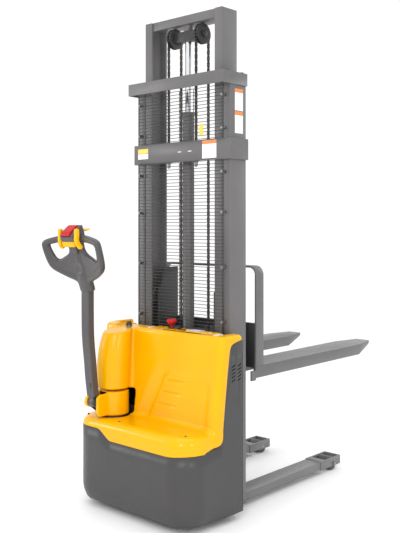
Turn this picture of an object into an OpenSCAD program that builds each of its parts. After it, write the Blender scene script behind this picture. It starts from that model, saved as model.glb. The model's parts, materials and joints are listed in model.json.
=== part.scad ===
// Walk-behind electric stacker: straddle chassis, two-stage mast, lifting forks, offset tiller.
// Millimetres. +X is the machine's right as seen from behind, +Y points along the forks,
// +Z is up. The origin is on the floor, under the axis of the lift cylinder.

/* [Chassis] */
// Overall width of the casing
body_w = 800; // [700:10:1000]
// Length of the casing from its rear face to its front edge
body_l = 396; // [380:2:480]
// Gap between the casing and the floor
skirt_z = 38; // [25:1:60]
// Radius of the casing's two rear corners
corner_r = 130; // [90:1:150]
// Sheet thickness of the casing
casing_t = 4; // [3:0.5:6]
// Height of the base plate's underside
base_z = 240; // [230:1:270]
// Thickness of the base plate
base_t = 10; // [8:1:16]

/* [Hood] */
// Height of the rear deck
deck_z = 450; // [440:2:500]
// Height of the hood's top
hood_z = 890; // [800:5:980]
// Wall of the moulded hood
hood_t = 4; // [3:0.5:6]
// Radius of the column that overhangs the tiller hub
nose_r = 90; // [88:1:100]

/* [Mast] */
// Distance between the outer faces of the fixed uprights
mast_w = 658; // [600:2:760]
// Front-to-back depth of the fixed uprights
mast_d = 120; // [110:1:140]
// Height of the fixed uprights
mast_z = 2170; // [1900:10:2600]
// Width of each fixed upright
upright_w = 53; // [48:1:60]
// Thickness of the fixed uprights' web
web_t = 10; // [8:0.5:14]
// Thickness of the fixed uprights' flanges
flange_t = 11; // [9:0.5:14]
// Width of each moving upright
inner_w = 47; // [42:1:52]
// Length of the moving uprights
inner_l = 2140; // [1900:10:2500]
// Height to which the moving uprights are raised at rest
raise = 310; // [100:5:600]
// Height of the upper cross band
upper_band_h = 62; // [40:1:90]
// Height of the lower cross band
lower_band_h = 104; // [60:1:140]
// Height of the lower band's bottom edge
lower_band_z = 1743; // [1600:1:1800]

/* [Lift] */
// Outside diameter of the lift cylinder
cylinder_d = 60; // [50:1:72]
// Wall of the lift cylinder
cylinder_wall = 5; // [4:0.5:8]
// Diameter of the piston rod
rod_d = 34; // [25:1:40]
// Top of the lift cylinder
cylinder_top = 1985; // [1800:5:2010]
// Pitch diameter of the chain pulleys
pulley_d = 94; // [80:1:98]
// Distance from the centre plane to each chain
chain_x = 97; // [80:1:110]
// Width of a lift chain
chain_w = 15; // [10:1:18]
// Thickness of a lift chain
chain_t = 11; // [8:0.5:13]

/* [Carriage] */
// Overall width across the forks
fork_span = 685; // [540:5:700]
// Width of one fork
fork_w = 170; // [150:2:190]
// Depth of one fork's section
fork_h = 62; // [50:1:65]
// Length of the fork blades
fork_l = 1121; // [900:5:1220]
// Plate thickness of the forks
fork_t = 8; // [6:0.5:10]
// Top of the forks with the mast lowered
fork_low = 87; // [84:1:95]
// Height of the load guard's top above the fork tops
guard_h = 505; // [350:5:800]
// Width of the load guard's flat bar
guard_bar = 64; // [40:1:80]

/* [Straddle legs] */
// Width of a leg
leg_w = 100; // [80:1:110]
// Distance from the centre plane to a leg's axis
leg_x = 257; // [250:1:262]
// Distance of the leg tips in front of the mast axis
leg_tip = 967; // [800:1:1100]
// Diameter of the load rollers
load_roller_d = 74; // [70:0.5:76]

/* [Wheels] */
// Diameter of the drive wheel
drive_d = 210; // [190:1:216]
// Width of the drive wheel
drive_w = 70; // [60:1:80]
// Diameter of the balance caster's wheel
caster_d = 130; // [110:1:140]

/* [Tiller] */
// Steering axis, measured from the centre plane
steer_x = -250; // [-270:1:-230]
// Height of the tiller's tilt pin
pivot_z = 530; // [520:1:545]
// Backward lean of the tiller's upper arm
arm_lean = 2.5; // [0:0.5:10]
// Backward lean of the handle
head_lean = 18; // [10:1:25]
// Distance from the tilt pin up to the handle
arm_l = 581; // [500:2:650]
// Width across the handle's two grips
handle_w = 400; // [360:2:460]

/* [Hidden] */
$fn = 64;
hull_fn = 32;
side = [-1, 1];

// Fits between pieces
roll_gap = 0.4;      // roller rim to channel flange
pin_gap = 0.05;      // running fit of a pin or rod in its bore
slide_gap = 0.5;     // sliding pad to upright
plate_gap = 2;       // plain clearance between moving plates
seam_gap = 1;        // seam between hood and casing

// Chassis stations
rear_y = -443;
front_y = rear_y + body_l;
half_w = body_w / 2;

// Mast stations
mast_rear = -51;
mast_front = mast_rear + mast_d;
mast_half = mast_w / 2;
upright_in = mast_half - upright_w;
side_gap = 5;
inner_out = upright_in - side_gap;
inner_in = inner_out - inner_w;
inner_rear = mast_rear + 2;
inner_front = mast_front - 2;
inner_flange = 10;
inner_web = 10;
inner_z = 50 + raise;
inner_top = inner_z + inner_l;
channel_y = (mast_rear + mast_front) / 2;
foot_z = 45;
bar_h = 44;

// Mast rollers run in the fixed channels, carriage rollers in the moving ones
mast_roller_r = mast_d / 2 - flange_t - roll_gap;
mast_roller_w = 28;
mast_roller_x = upright_in + 5;
mast_roller_z = inner_z + 62;
car_roller_r = (inner_front - inner_rear) / 2 - inner_flange - roll_gap;
car_roller_w = 26;
car_roller_x = inner_in + 4;
stub_r = 15;

// Bands and guard
band_t = 6;
lower_band_out = mast_half + 11;
lower_band_rear = mast_rear - 17;
upper_band_rear = mast_rear - 65;
band_front = mast_front + 5;
upper_band_z = mast_z + 3 - upper_band_h;
mesh_y = mast_rear - 22;
mesh_t = 3;
mesh_half = 301;
mesh_wire = 3.5;
mesh_pitch = 17;
mesh_column = 105;
mesh_low = hood_z - 8;
hood_front = mesh_y - 6;

// Pulleys and crosshead
pulley_z = inner_top - 100;
pulley_r = pulley_d / 2;
pulley_w = 24;
pulley_pin_r = 12;
head_half = chain_x - pulley_w / 2 - plate_gap;
head_h = 52;
tie_low = 64;
anchor_drop = 28;

// Carriage
lift2 = 2 * raise;
fork_top = fork_low + lift2;
fork_bottom = fork_top - fork_h;
fork_half = fork_span / 2;
heel_y = 96;
blade_y = 196;
fork_tip = blade_y + fork_l;
plate_x = inner_in - 19;
plate_t = 12;
cross_y = 122;
cross_t = 12;
guard_top = fork_top + guard_h;
heel_h = 40;
heel_step = 3;
car_roller_low = fork_top + 22;
car_roller_high = fork_top + 330;

// Legs
leg_h = 42;
leg_low = 30;
leg_end_l = 200;
leg_end_w = leg_w + 8;
load_y = leg_tip - 66;
load_w = leg_end_w - 2 * 8 - 6;

// Console
dash_y = hood_front - 46;
key_x = steer_x + 5;
key_y = rear_y + 248;
plug_r = 5;

// Drive
steer_y = rear_y + 145;
hub_r = 80;
hub_top = 575;
nose_gap = 12;
pivot_y = rear_y + 15;
ring_r = 100;

wheel_z = drive_d / 2;

// Pressure hose and its port on the cylinder
hose_r = 8;
hose_x = 40;
hose_y = steer_y + 4;
port_z = 100;
port_half = 9;

// Caster
caster_x = 255;
caster_y = steer_y;
caster_trail = 30;
caster_w = 46;

// Colours
yellow = [0.96, 0.74, 0.06];
dark_grey = [0.34, 0.33, 0.33];
mast_grey = [0.45, 0.44, 0.44];
black = [0.10, 0.10, 0.11];
steel = [0.62, 0.63, 0.65];
chrome = [0.85, 0.86, 0.88];
red = [0.80, 0.08, 0.08];

// ---------- shared shapes ----------

// Rod along X, centred on p
module rod_x(p, r, l) {
    translate(p) rotate([0, 90, 0]) cylinder(r = r, h = l, center = true);
}

// Box given by its lowest and highest corners
module block(a, b) {
    translate(a) cube(b - a);
}

// Box mirrored to both sides of the centre plane
module pair_block(a, b) {
    for (s = side) block([s > 0 ? a[0] : -b[0], a[1], a[2]], [s > 0 ? b[0] : -a[0], b[1], b[2]]);
}

// Outline drawn in Y and Z, extruded along X from x0 to x1
module side_profile(points, x0, x1) {
    translate([x0, 0, 0]) rotate([90, 0, 90]) linear_extrude(x1 - x0) polygon(points);
}

// Outline drawn in X and Z, extruded along Y from y0 to y1
module rear_profile(points, y0, y1) {
    translate([0, y1, 0]) rotate([90, 0, 0]) linear_extrude(y1 - y0) polygon(points);
}

// Channel section, open towards -X, with its web against x_out
module channel(x_in, x_out, y0, y1, web, flange) {
    difference() {
        translate([x_in, y0]) square([x_out - x_in, y1 - y0]);
        translate([x_in - 1, y0 + flange]) square([x_out - web - x_in + 1, y1 - y0 - 2 * flange]);
    }
}

// Hexagon bolt head on a seat that faces -Y
module bolt_head(p, d) {
    translate(p) rotate([90, 0, 0]) cylinder(d = 1.8 * d, h = 0.7 * d, $fn = 6);
}

// Plan of the casing at a given inset: two round rear corners and a square front
module casing_plan(inset) {
    r = corner_r - inset;
    x = half_w - inset;
    y = rear_y + inset;
    union() {
        translate([-x, y + r]) square([2 * x, front_y - y - r]);
        translate([-x + r, y]) square([2 * (x - r), r + 1]);
        for (s = side) translate([s * (x - r), y + r]) circle(r);
    }
}

// ---------- chassis ----------

// Everything below the seam between the casing and the hood
module below_seam(gap) {
    x = half_w + 1;
    low = 359 - gap;
    high = 409 - gap;
    rear_profile([[-x, -1], [x, -1], [x, low + 9], [x - 145, low], [-108, low], [-156, low + 30],
        [-202, high], [-x, high]], rear_y - 1, rear_y + corner_r);
    right = side_seam(low + 9, gap);
    left = side_seam(high, gap);
    side_profile(right, half_w - corner_r, x);
    side_profile(left, -x, -half_w + corner_r);
}

// Seam along a side: low at the rear, then rising beside the hood's wall
function side_seam(z0, gap) = let (y0 = rear_y + corner_r - 1, yw = rear_y + 247 + gap) [
    [y0, -1], [y0, z0], [rear_y + 175, max(z0, 384 - gap)], [yw - 2, max(z0, 393 - gap)],
    [yw + 13, 503], [yw + 27, hood_z - 272], [yw + 46, hood_z - 133], [yw + 64, hood_z - 50],
    [yw + 95, hood_z - 40 - gap], [front_y + 1, hood_z - 28 - gap], [front_y + 1, -1]
];

// Welded base: plate, mast bulkhead, side webs, front wings, caster pedestal and ring seat
module base_frame() {
    color(black) {
        difference() {
            union() {
                base_plate(casing_t + 1, base_z, base_t);
                translate([caster_x, caster_y, 178]) cylinder(r = 62, h = base_z - 178);
            }
            translate([steer_x, steer_y, base_z - 1]) cylinder(r = ring_r - 18, h = base_t + 2);
            translate([caster_x, caster_y, 170]) cylinder(r = 16 + pin_gap, h = 60);
            translate([hose_x, hose_y, base_z - 1]) cylinder(r = hose_r + 2, h = base_t + 2);
        }
        difference() {
            block([-mast_half, mast_rear - 12, foot_z], [mast_half, mast_rear, base_z]);
            block([0, mast_rear - 13, port_z - 20], [hose_x + 20, mast_rear + 1, port_z + 20]);
        }
        block([-mast_half, mast_rear - 12, base_z + base_t], [mast_half, mast_rear, hood_z - 60]);
        for (s = side)
            block([s > 0 ? mast_half : -half_w + casing_t, front_y - 6, skirt_z + 10],
                [s > 0 ? half_w - casing_t : -mast_half, front_y, base_z]);
    }
}

// Base plate cut to the casing's inside
module base_plate(inset, z, t) {
    difference() {
        translate([0, 0, z]) linear_extrude(t) casing_plan(inset);
        block([-half_w, mast_rear, z - 1], [half_w, 0, z + t + 1]);
    }
}

// Sheet-steel wrap with vent slots in both sides
module casing() {
    slot_l = 34;
    color(dark_grey) difference() {
        intersection() {
            difference() {
                translate([0, 0, skirt_z]) linear_extrude(hood_z) casing_plan(0);
                translate([0, 0, skirt_z - 1]) linear_extrude(hood_z + 2) casing_plan(casing_t);
            }
            below_seam(0);
        }
        for (s = side, row = [0:4], col = [0, 1])
            translate([s * half_w, front_y - 66 + col * 44, hood_z - 212 + row * 17])
                rotate([14, 0, 0]) cube([4 * casing_t, slot_l - 8, 5], center = true);
    }
    color(dark_grey) pair_block([mast_half + 3, front_y, skirt_z], [half_w, front_y + casing_t, hood_z - 30]);
}

// Outline of the hood's wall, leaning forward as it rises; the inside is open towards the mast
function wall_profile(inset) = let (front = hood_front + min(inset, 1)) [
    [rear_y + 193 + inset, deck_z - 30], [rear_y + 250 + inset, hood_z - 30],
    [rear_y + 272 + inset, hood_z - inset], [front, hood_z - inset], [front, deck_z - 30]
];

// Solid outer form of the hood, or of its inside when inset is the wall
module hood_form(inset) {
    intersection() {
        union() {
            translate([0, 0, 340 - 2 * inset]) linear_extrude(deck_z - 380) casing_plan(inset);
            hull() {
                translate([0, 0, deck_z - 42]) linear_extrude(1) casing_plan(inset);
                translate([0, 0, deck_z - inset - 1]) linear_extrude(1) casing_plan(inset + 42);
            }
        }
        block([-half_w, rear_y, 0], [half_w, rear_y + 260, deck_z + 1]);
    }
    intersection() {
        side_profile(wall_profile(inset), -half_w + inset, half_w - inset);
        translate([0, 0, 300]) linear_extrude(hood_z) casing_plan(inset);
    }
    hull() {
        translate([steer_x - 4, steer_y + 4, hub_top + nose_gap + inset])
            cylinder(r = nose_r - inset, h = 2, $fn = hull_fn);
        translate([steer_x + 30, rear_y + 268, hood_z - 2 - inset])
            cylinder(r = nose_r - 32 - inset, h = 2, $fn = hull_fn);
        block([steer_x - nose_r + inset, rear_y + 262, hub_top + nose_gap + inset],
            [steer_x + nose_r + 12 - inset, rear_y + 300, hood_z - inset]);
    }
}

// Moulded hood: deck, leaning wall and the column over the tiller hub
module hood() {
    color(yellow) difference() {
        hood_form(0);
        hood_form(hood_t);
        below_seam(-seam_gap);
        translate([steer_x, steer_y, deck_z - 80]) cylinder(r = hub_r + 8, h = hub_top + 90 - deck_z);
        block([steer_x, steer_y - 10, deck_z + 1], [steer_x + 100, steer_y + 92, hub_top + 10]);
        translate([0, dash_y, hood_z - 20]) cylinder(r = 14, h = 30);
        translate([key_x, key_y, hood_z - 20]) cylinder(r = 12, h = 30);
    }
}

// Console inlay that carries the emergency stop and the gauge
module dash_panel() {
    color(yellow) difference() {
        block([-120, dash_y - 34, hood_z], [300, dash_y + 34, hood_z + 3]);
        translate([0, dash_y, hood_z - 1]) cylinder(r = 14, h = 10);
    }
}

// Battery discharge gauge with its lens
module battery_gauge() {
    color([0.75, 0.77, 0.78]) block([120, dash_y - 22, hood_z + 3], [205, dash_y + 22, hood_z + 8]);
}

// Threaded collar of the emergency stop
module estop_collar() {
    color(black) difference() {
        union() {
            translate([0, dash_y, hood_z + 3]) cylinder(r = 19, h = 6);
            translate([0, dash_y, hood_z - 26]) cylinder(r = 13.8, h = 29);
        }
        translate([0, dash_y, hood_z - 27]) cylinder(r = 8, h = 40);
    }
}

// Mushroom button that latches when pressed
module estop_button() {
    stem = 8 - pin_gap;
    color(red) translate([0, dash_y, hood_z]) rotate_extrude()
        polygon([[0, -20], [stem, -20], [stem, 20], [18, 28], [26, 36], [26, 43], [20, 50], [0, 53]]);
}

// Key switch barrel with its flange
module key_lock() {
    color(steel) translate([key_x, key_y, 0]) difference() {
        union() {
            translate([0, 0, hood_z - 34]) cylinder(r = 12, h = 34);
            translate([0, 0, hood_z]) cylinder(r = 18, h = 4);
        }
        translate([0, 0, hood_z - 30]) cylinder(r = plug_r + pin_gap, h = 40);
    }
}

// Lock plug with its captive knob
module key() {
    color(black) translate([key_x, key_y, hood_z]) {
        translate([0, 0, -26]) cylinder(r = plug_r, h = 34);
        translate([0, 0, 5]) cylinder(r1 = 17, r2 = 14, h = 15);
        block([-3, -13, 19], [3, 13, 25]);
    }
}

// Two traction blocks side by side on the base plate
module battery() {
    z = base_z + base_t;
    color(black) for (s = side) {
        block([s > 0 ? 4 : -324, front_y - 132, z], [s > 0 ? 324 : -4, front_y - 22, z + 225]);
        for (x = [60, 268])
            translate([s * x, front_y - 77, z + 225]) cylinder(r = 9, h = 16);
    }
}

// Pump motor, upright beside the tank
module pump_motor() {
    z = base_z + base_t;
    color(black) {
        translate([110, steer_y + 4, z]) cylinder(r = 58, h = 34);
        translate([110, steer_y + 4, z + 34]) cylinder(r = 52, h = 116);
    }
}

// Hydraulic oil tank
module oil_tank() {
    z = base_z + base_t;
    color(steel) {
        block([180, steer_y - 62, z], [330, steer_y + 62, z + 130]);
        translate([300, steer_y, z + 130]) cylinder(r = 16, h = 14);
    }
}

// Pressure hose from the pump to the cylinder's foot, bent round a quarter circle
module hydraulic_hose() {
    bend = hose_x - port_half;
    y1 = -cylinder_d / 2 - port_half;
    color(black) {
        translate([hose_x, hose_y, port_z]) rotate([-90, 0, 0])
            cylinder(r = hose_r, h = y1 - bend - hose_y);
        translate([hose_x, hose_y, port_z]) cylinder(r = hose_r, h = base_z + base_t + 60 - port_z);
        translate([hose_x, hose_y, port_z]) sphere(hose_r);
        translate([port_half, y1 - bend, port_z]) rotate_extrude(angle = 90)
            translate([bend, 0]) circle(hose_r);
    }
}

// Motor controller on the mast bulkhead, behind the hood's wall
module motor_controller() {
    color(steel) block([-110, mast_rear - 72, hood_z - 260], [110, mast_rear - 12, hood_z - 90]);
}

// Slewing ring's fixed race on the base plate
module steer_ring() {
    color(steel) translate([steer_x, steer_y, base_z + base_t]) difference() {
        cylinder(r = ring_r, h = 16);
        translate([0, 0, -1]) cylinder(r = ring_r - 20, h = 18);
    }
}

// ---------- fixed mast ----------

module outer_uprights() {
    color(mast_grey) for (s = side) mirror([s < 0 ? 1 : 0, 0, 0])
        translate([0, 0, foot_z]) linear_extrude(mast_z - foot_z)
            channel(upright_in, mast_half, mast_rear, mast_front, web_t, flange_t);
}

// Flat-bar band: a rear strap set back from the mast and a strap along each side
module band(out, back, t_side, z, h) {
    block([-out, back, z], [out, back + band_t, z + h]);
    pair_block([out - t_side, back + band_t, z], [out, band_front, z + h]);
}

module mast_upper_band() {
    color(mast_grey) band(mast_half + band_t, upper_band_rear, band_t, upper_band_z, upper_band_h);
}

// Lower band with the two lugs that hold the fixed ends of the chains
module mast_lower_band() {
    color(mast_grey) {
        band(lower_band_out, lower_band_rear, lower_band_out - mast_half, lower_band_z, lower_band_h);
        for (s = side) difference() {
            block([s * chain_x - 14, lower_band_rear + band_t, lower_band_z],
                [s * chain_x + 14, -pulley_r + 12, lower_band_z + 14]);
            translate([s * chain_x, -pulley_r, lower_band_z - 1]) cylinder(r = 6.5, h = 16);
        }
    }
}

// Cross plate that ties the uprights at the floor and carries the cylinder
module mast_foot() {
    color(mast_grey) {
        block([-mast_half, mast_rear, leg_low], [mast_half, mast_front, foot_z]);
        difference() {
            translate([0, 0, foot_z]) cylinder(r = cylinder_d / 2 + 12, h = 20);
            translate([0, 0, foot_z]) cylinder(d = cylinder_d, h = 21);
        }
    }
}

// Welded wire panel drawn as a flat grid between two heights
module grid(z0, z1) {
    columns = round(2 * mesh_half / mesh_column);
    step = (2 * mesh_half - mesh_wire) / columns;
    rows = floor((z1 - z0 - mesh_wire) / mesh_pitch);
    rise = (z1 - z0 - mesh_wire) / rows;
    translate([0, mesh_y + mesh_t, 0]) rotate([90, 0, 0]) linear_extrude(mesh_t) difference() {
        translate([-mesh_half, z0]) square([2 * mesh_half, z1 - z0]);
        for (i = [0:columns - 1], j = [0:rows - 1])
            translate([-mesh_half + mesh_wire + i * step, z0 + mesh_wire + j * rise])
                square([step - mesh_wire, rise - mesh_wire]);
    }
}

module guard_mesh() {
    color(black) {
        grid(mesh_low, lower_band_z - 2);
        grid(lower_band_z + lower_band_h + 2, upper_band_z - 2);
    }
}

clip_z = [mesh_low + 60, mesh_low + 330, mesh_low + 600, lower_band_z - 60,
    lower_band_z + lower_band_h + 50, upper_band_z - 50];

// Stand-offs and bolts that hold the wire panels to the uprights
module guard_clips() {
    color(steel) for (s = side, z = clip_z) {
        translate([s * (mesh_half - 8), mesh_y + mesh_t, z]) rotate([-90, 0, 0])
            cylinder(r = 8, h = mast_rear - mesh_y - mesh_t);
        bolt_head([s * (mesh_half - 8), mesh_y, z], 8);
    }
}

// Nylon pads in the fixed uprights that steady the moving ones
module slide_pads() {
    color([0.9, 0.9, 0.86]) for (s = side, y = [mast_rear, mast_front - flange_t])
        pair_one(s, [inner_out + slide_gap, y, upper_band_z - 60],
            [upright_in, y + flange_t, upper_band_z - 5]);
}

// One block placed on side s
module pair_one(s, a, b) {
    block([s > 0 ? a[0] : -b[0], a[1], a[2]], [s > 0 ? b[0] : -a[0], b[1], b[2]]);
}

// ---------- lift cylinder and chains ----------

module cylinder_tube() {
    color(mast_grey) difference() {
        union() {
            translate([0, 0, foot_z]) cylinder(d = cylinder_d, h = cylinder_top - foot_z);
            block([-port_half, -cylinder_d / 2 - 2 * port_half, port_z - 12], [port_half, 0, port_z + 12]);
        }
        translate([0, 0, foot_z + 20]) cylinder(r = cylinder_d / 2 - cylinder_wall, h = cylinder_top);
    }
}

// Screwed head with the rod seal, and its hexagon
module cylinder_gland() {
    bore = rod_d / 2 + pin_gap;
    color(mast_grey) difference() {
        union() {
            translate([0, 0, cylinder_top]) cylinder(d = cylinder_d + 4, h = 20);
            translate([0, 0, cylinder_top - 40]) cylinder(r = cylinder_d / 2 - cylinder_wall, h = 40);
        }
        translate([0, 0, cylinder_top - 41]) cylinder(r = bore, h = 80);
    }
}

// Chrome rod with its piston
module lift_rod() {
    color(chrome) {
        piston_z = foot_z + 30 + raise;
        translate([0, 0, piston_z]) cylinder(r = cylinder_d / 2 - cylinder_wall - pin_gap, h = 36);
        translate([0, 0, piston_z + 36]) cylinder(d = rod_d, h = pulley_z - head_h / 2 - piston_z - 36);
    }
}

// Threaded rods with nuts and locknuts under the lower band
module mast_chain_anchors() {
    color(steel) for (s = side) translate([s * chain_x, -pulley_r, 0]) {
        translate([0, 0, lower_band_z - anchor_drop]) cylinder(r = 6, h = anchor_drop + 14);
        translate([0, 0, lower_band_z - 12]) cylinder(r = 11, h = 12, $fn = 6);
        translate([0, 0, lower_band_z - 22]) cylinder(r = 11, h = 8, $fn = 6);
        translate([0, 0, lower_band_z + 14]) cylinder(r = 8, h = 20);
    }
}

// Straight stretch of both chains at one side of the pulleys
module chain_pair(y, z0, z1) {
    for (s = side)
        block([s * chain_x - chain_w / 2, y - chain_t / 2, z0],
            [s * chain_x + chain_w / 2, y + chain_t / 2, z1]);
}

module chain_rear() {
    color(black) chain_pair(-pulley_r, lower_band_z + 34, pulley_z);
}

module chain_front() {
    color(black) chain_pair(pulley_r, front_anchor_z, pulley_z);
}

front_anchor_z = fork_top + 215;

// Turn of both chains over the pulleys
module chain_wraps() {
    color(black) for (s = side)
        translate([s * chain_x - chain_w / 2, 0, pulley_z]) rotate([90, 0, 90])
            rotate_extrude(angle = 180) translate([pulley_r - chain_t / 2, 0]) square([chain_t, chain_w]);
}

module chain_pulleys() {
    rim = pulley_r - chain_t / 2 - roll_gap;
    lip = (pulley_w - chain_w - 1) / 2;
    color(black) for (s = side) translate([s * chain_x, 0, pulley_z]) rotate([0, 90, 0]) difference() {
        union() {
            cylinder(r = rim, h = pulley_w, center = true);
            for (e = side) translate([0, 0, e * (pulley_w - lip) / 2])
                cylinder(r = pulley_r + 6, h = lip, center = true);
        }
        cylinder(r = pulley_pin_r + pin_gap, h = 60, center = true);
    }
}

// ---------- moving mast ----------

module inner_uprights() {
    color(mast_grey) for (s = side) mirror([s < 0 ? 1 : 0, 0, 0]) {
        translate([0, 0, inner_z]) linear_extrude(inner_l)
            channel(inner_in, inner_out, inner_rear, inner_front, inner_web, inner_flange);
        translate([inner_out, channel_y, mast_roller_z]) rotate([0, 90, 0])
            cylinder(r = stub_r, h = mast_roller_x + mast_roller_w + 4 - inner_out);
    }
}

// Top beam, rear tie at the bottom and the post above the crosshead
module inner_crossbars() {
    color(mast_grey) {
        block([-inner_in, inner_rear + 8, inner_top - bar_h], [inner_in, inner_front - 8, inner_top]);
        block([-inner_in, inner_rear, inner_z + tie_low],
            [inner_in, inner_rear + 12, inner_z + tie_low + 34]);
        translate([0, 0, pulley_z + head_h / 2])
            cylinder(r = 25, h = inner_top - bar_h - pulley_z - head_h / 2);
    }
}

// Forged beam on the rod, with a pin each side for the pulleys
module crosshead() {
    color(black) {
        block([-head_half, -22, pulley_z - head_h / 2], [head_half, 22, pulley_z + head_h / 2]);
        for (s = side) rod_x([s * (chain_x + 2), 0, pulley_z], pulley_pin_r, pulley_w + 8);
        for (s = side) rod_x([s * (chain_x + pulley_w / 2 + plate_gap + 4), 0, pulley_z], 18, 6);
    }
}

// A roller on each side of the machine, bored for its stub
module roller_pair(x, w, r, z) {
    for (s = side) rod_ring([s * (x + w / 2), channel_y, z], r, stub_r + pin_gap, w);
}

module rod_ring(p, r, bore, w) {
    difference() {
        rod_x(p, r, w);
        rod_x(p, bore, w + 2);
    }
}

module mast_rollers() {
    color(steel) roller_pair(mast_roller_x, mast_roller_w, mast_roller_r, mast_roller_z);
}

// ---------- carriage ----------

// Side plates with stubs, cross plates, heel blocks and the chain anchor bar
module carriage_frame() {
    y0 = channel_y - 30;
    low = fork_bottom + heel_h;
    high = guard_top - 20;
    color(black) {
        for (s = side) {
            side_profile([[y0, low], [cross_y, low], [cross_y, high], [channel_y + 8, high],
                [channel_y - 8, high - 22], [channel_y - 8, car_roller_high + 75],
                [y0, car_roller_high + 40]],
                s > 0 ? plate_x - plate_t : -plate_x, s > 0 ? plate_x : -plate_x + plate_t);
            for (z = [car_roller_low, car_roller_high])
                rod_x([s * (plate_x + (car_roller_x + car_roller_w + 3 - plate_x) / 2), channel_y, z], stub_r,
                    car_roller_x + car_roller_w + 3 - plate_x);
        }
        difference() {
            block([-fork_half, cross_y, low], [fork_half, cross_y + cross_t, fork_top + 217]);
            pair_block([plate_x + 2, cross_y - 1, low - 1],
                [fork_half - fork_t, cross_y + cross_t + 1, fork_top - fork_t]);
        }
        difference() {
            block([-plate_x + plate_t, pulley_r - 16, front_anchor_z - 74],
                [plate_x - plate_t, cross_y, front_anchor_z - 50]);
            for (s = side) translate([s * chain_x, pulley_r, front_anchor_z - 80]) cylinder(r = 6.5, h = 40);
        }
        for (s = side) translate([s * chain_x, pulley_r, 0]) {
            translate([0, 0, front_anchor_z - 96]) cylinder(r = 6, h = 76);
            translate([0, 0, front_anchor_z - 20]) cylinder(r = 8, h = 20);
            translate([0, 0, front_anchor_z - 86]) cylinder(r = 11, h = 12, $fn = 6);
        }
    }
}

// Portal of flat bar around the load's back
module load_guard() {
    t = 10;
    r = 46;
    y0 = cross_y + cross_t;
    color(mast_grey) translate([0, y0 + guard_bar - 2, 0]) rotate([90, 0, 0]) linear_extrude(guard_bar - 2)
        difference() {
            portal(fork_half, fork_top - heel_step, guard_top, r);
            portal(fork_half - t, fork_top - heel_step - 1, guard_top - t, r - t);
        }
}

// Round-cornered doorway outline
module portal(x, z0, z1, r) {
    translate([-x, z0]) square([2 * x, z1 - r - z0]);
    translate([-x + r, z1 - r - 1]) square([2 * (x - r), r + 1]);
    for (s = side) translate([s * (x - r), z1 - r]) circle(r);
}

// Fork on side s: inverted channel with a narrowed tip, and its heel block
module fork(s) {
    x0 = fork_half - fork_w;
    y0 = cross_y + cross_t;
    tip = 190;
    heel_top = fork_top - heel_step;
    color(mast_grey) mirror([s < 0 ? 1 : 0, 0, 0]) {
        difference() {
            intersection() {
                side_profile([[y0, fork_bottom], [fork_tip - tip, fork_bottom],
                    [fork_tip - 22, fork_top - 24], [fork_tip, fork_top - 12], [fork_tip - 8, fork_top], [y0 + guard_bar + 2, fork_top],
                    [y0 + guard_bar, heel_top], [y0, heel_top]], x0, fork_half);
                translate([0, 0, fork_bottom - 1]) linear_extrude(fork_h + 2) polygon([[x0, y0],
                    [fork_half, y0], [fork_half, fork_tip - tip], [fork_half - 42, fork_tip], [x0 + 42, fork_tip],
                    [x0, fork_tip - tip]]);
            }
            block([x0 + fork_t, y0 - 1, fork_bottom - 1],
                [fork_half - fork_t, fork_tip - tip - 10, fork_top - fork_t]);
        }
        for (x = [x0, fork_half - fork_t])
            block([x, heel_y, fork_bottom - 10], [x + fork_t, y0 + 1, fork_bottom + heel_h]);
    }
}

module fork_left() {
    fork(-1);
}

module fork_right() {
    fork(1);
}

module carriage_rollers_top() {
    color(steel) roller_pair(car_roller_x, car_roller_w, car_roller_r, car_roller_high);
}

module carriage_rollers_bottom() {
    color(steel) roller_pair(car_roller_x, car_roller_w, car_roller_r, car_roller_low);
}

// ---------- straddle legs ----------

// Box-section legs on the mast foot
module legs() {
    end = leg_tip - leg_end_l;
    color(dark_grey) for (s = side) difference() {
        pair_one(s, [leg_x - leg_w / 2, mast_front, leg_low], [leg_x + leg_w / 2, end, leg_low + leg_h]);
        pair_one(s, [leg_x - leg_w / 2 + 8, mast_front + 8, leg_low - 1],
            [leg_x + leg_w / 2 - 8, end + 1, leg_low + leg_h - 8]);
    }
}

// Open-topped end brackets that hold the load rollers
module leg_ends() {
    y0 = leg_tip - leg_end_l;
    z0 = leg_low - 4;
    z1 = load_roller_d + 1;
    w = leg_end_w / 2;
    color(dark_grey) for (s = side) difference() {
        pair_one(s, [leg_x - w, y0, z0], [leg_x + w, leg_tip, z1]);
        pair_one(s, [leg_x - w + 8, y0 + 50, z0 - 1], [leg_x + w - 8, leg_tip - 10, z1 + 1]);
        rod_x([s * leg_x, load_y, load_roller_d / 2], 10, leg_end_w + 2);
    }
}

// Axle bolts of the load rollers
module load_axles() {
    color(chrome) for (s = side) {
        rod_x([s * leg_x, load_y, load_roller_d / 2], 10, leg_end_w);
        rod_x([s * (leg_x + leg_end_w / 2 + 2.5), load_y, load_roller_d / 2], 12, 5);
    }
}

module load_roller(s) {
    r = load_roller_d / 2;
    color([0.75, 0.70, 0.55]) rod_ring([s * leg_x, load_y, r], r, 10 + pin_gap, load_w);
}

module load_roller_left() {
    load_roller(-1);
}

module load_roller_right() {
    load_roller(1);
}

// ---------- drive unit and caster ----------

// Gear case beside the wheel, its neck in the slewing ring and the output shaft
module gearbox() {
    side_x = steer_x + drive_w / 2 + 6;
    color(steel) {
        hull() {
            rod_x([side_x + 18, steer_y, wheel_z], 48, 36);
            rod_x([side_x + 18, steer_y, base_z - 62], 40, 36);
        }
        translate([steer_x, steer_y, base_z - 24]) cylinder(r = ring_r - 24, h = base_t + 24 + 16 + 6);
        block([side_x, steer_y - 30, base_z - 60], [side_x + 36, steer_y + 30, base_z - 20]);
        rod_x([steer_x + 6, steer_y, wheel_z], 16, drive_w + 10);
        translate([steer_x, steer_y, base_z + base_t + 16.5]) cylinder(r = ring_r - 4, h = 8);
    }
}

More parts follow.
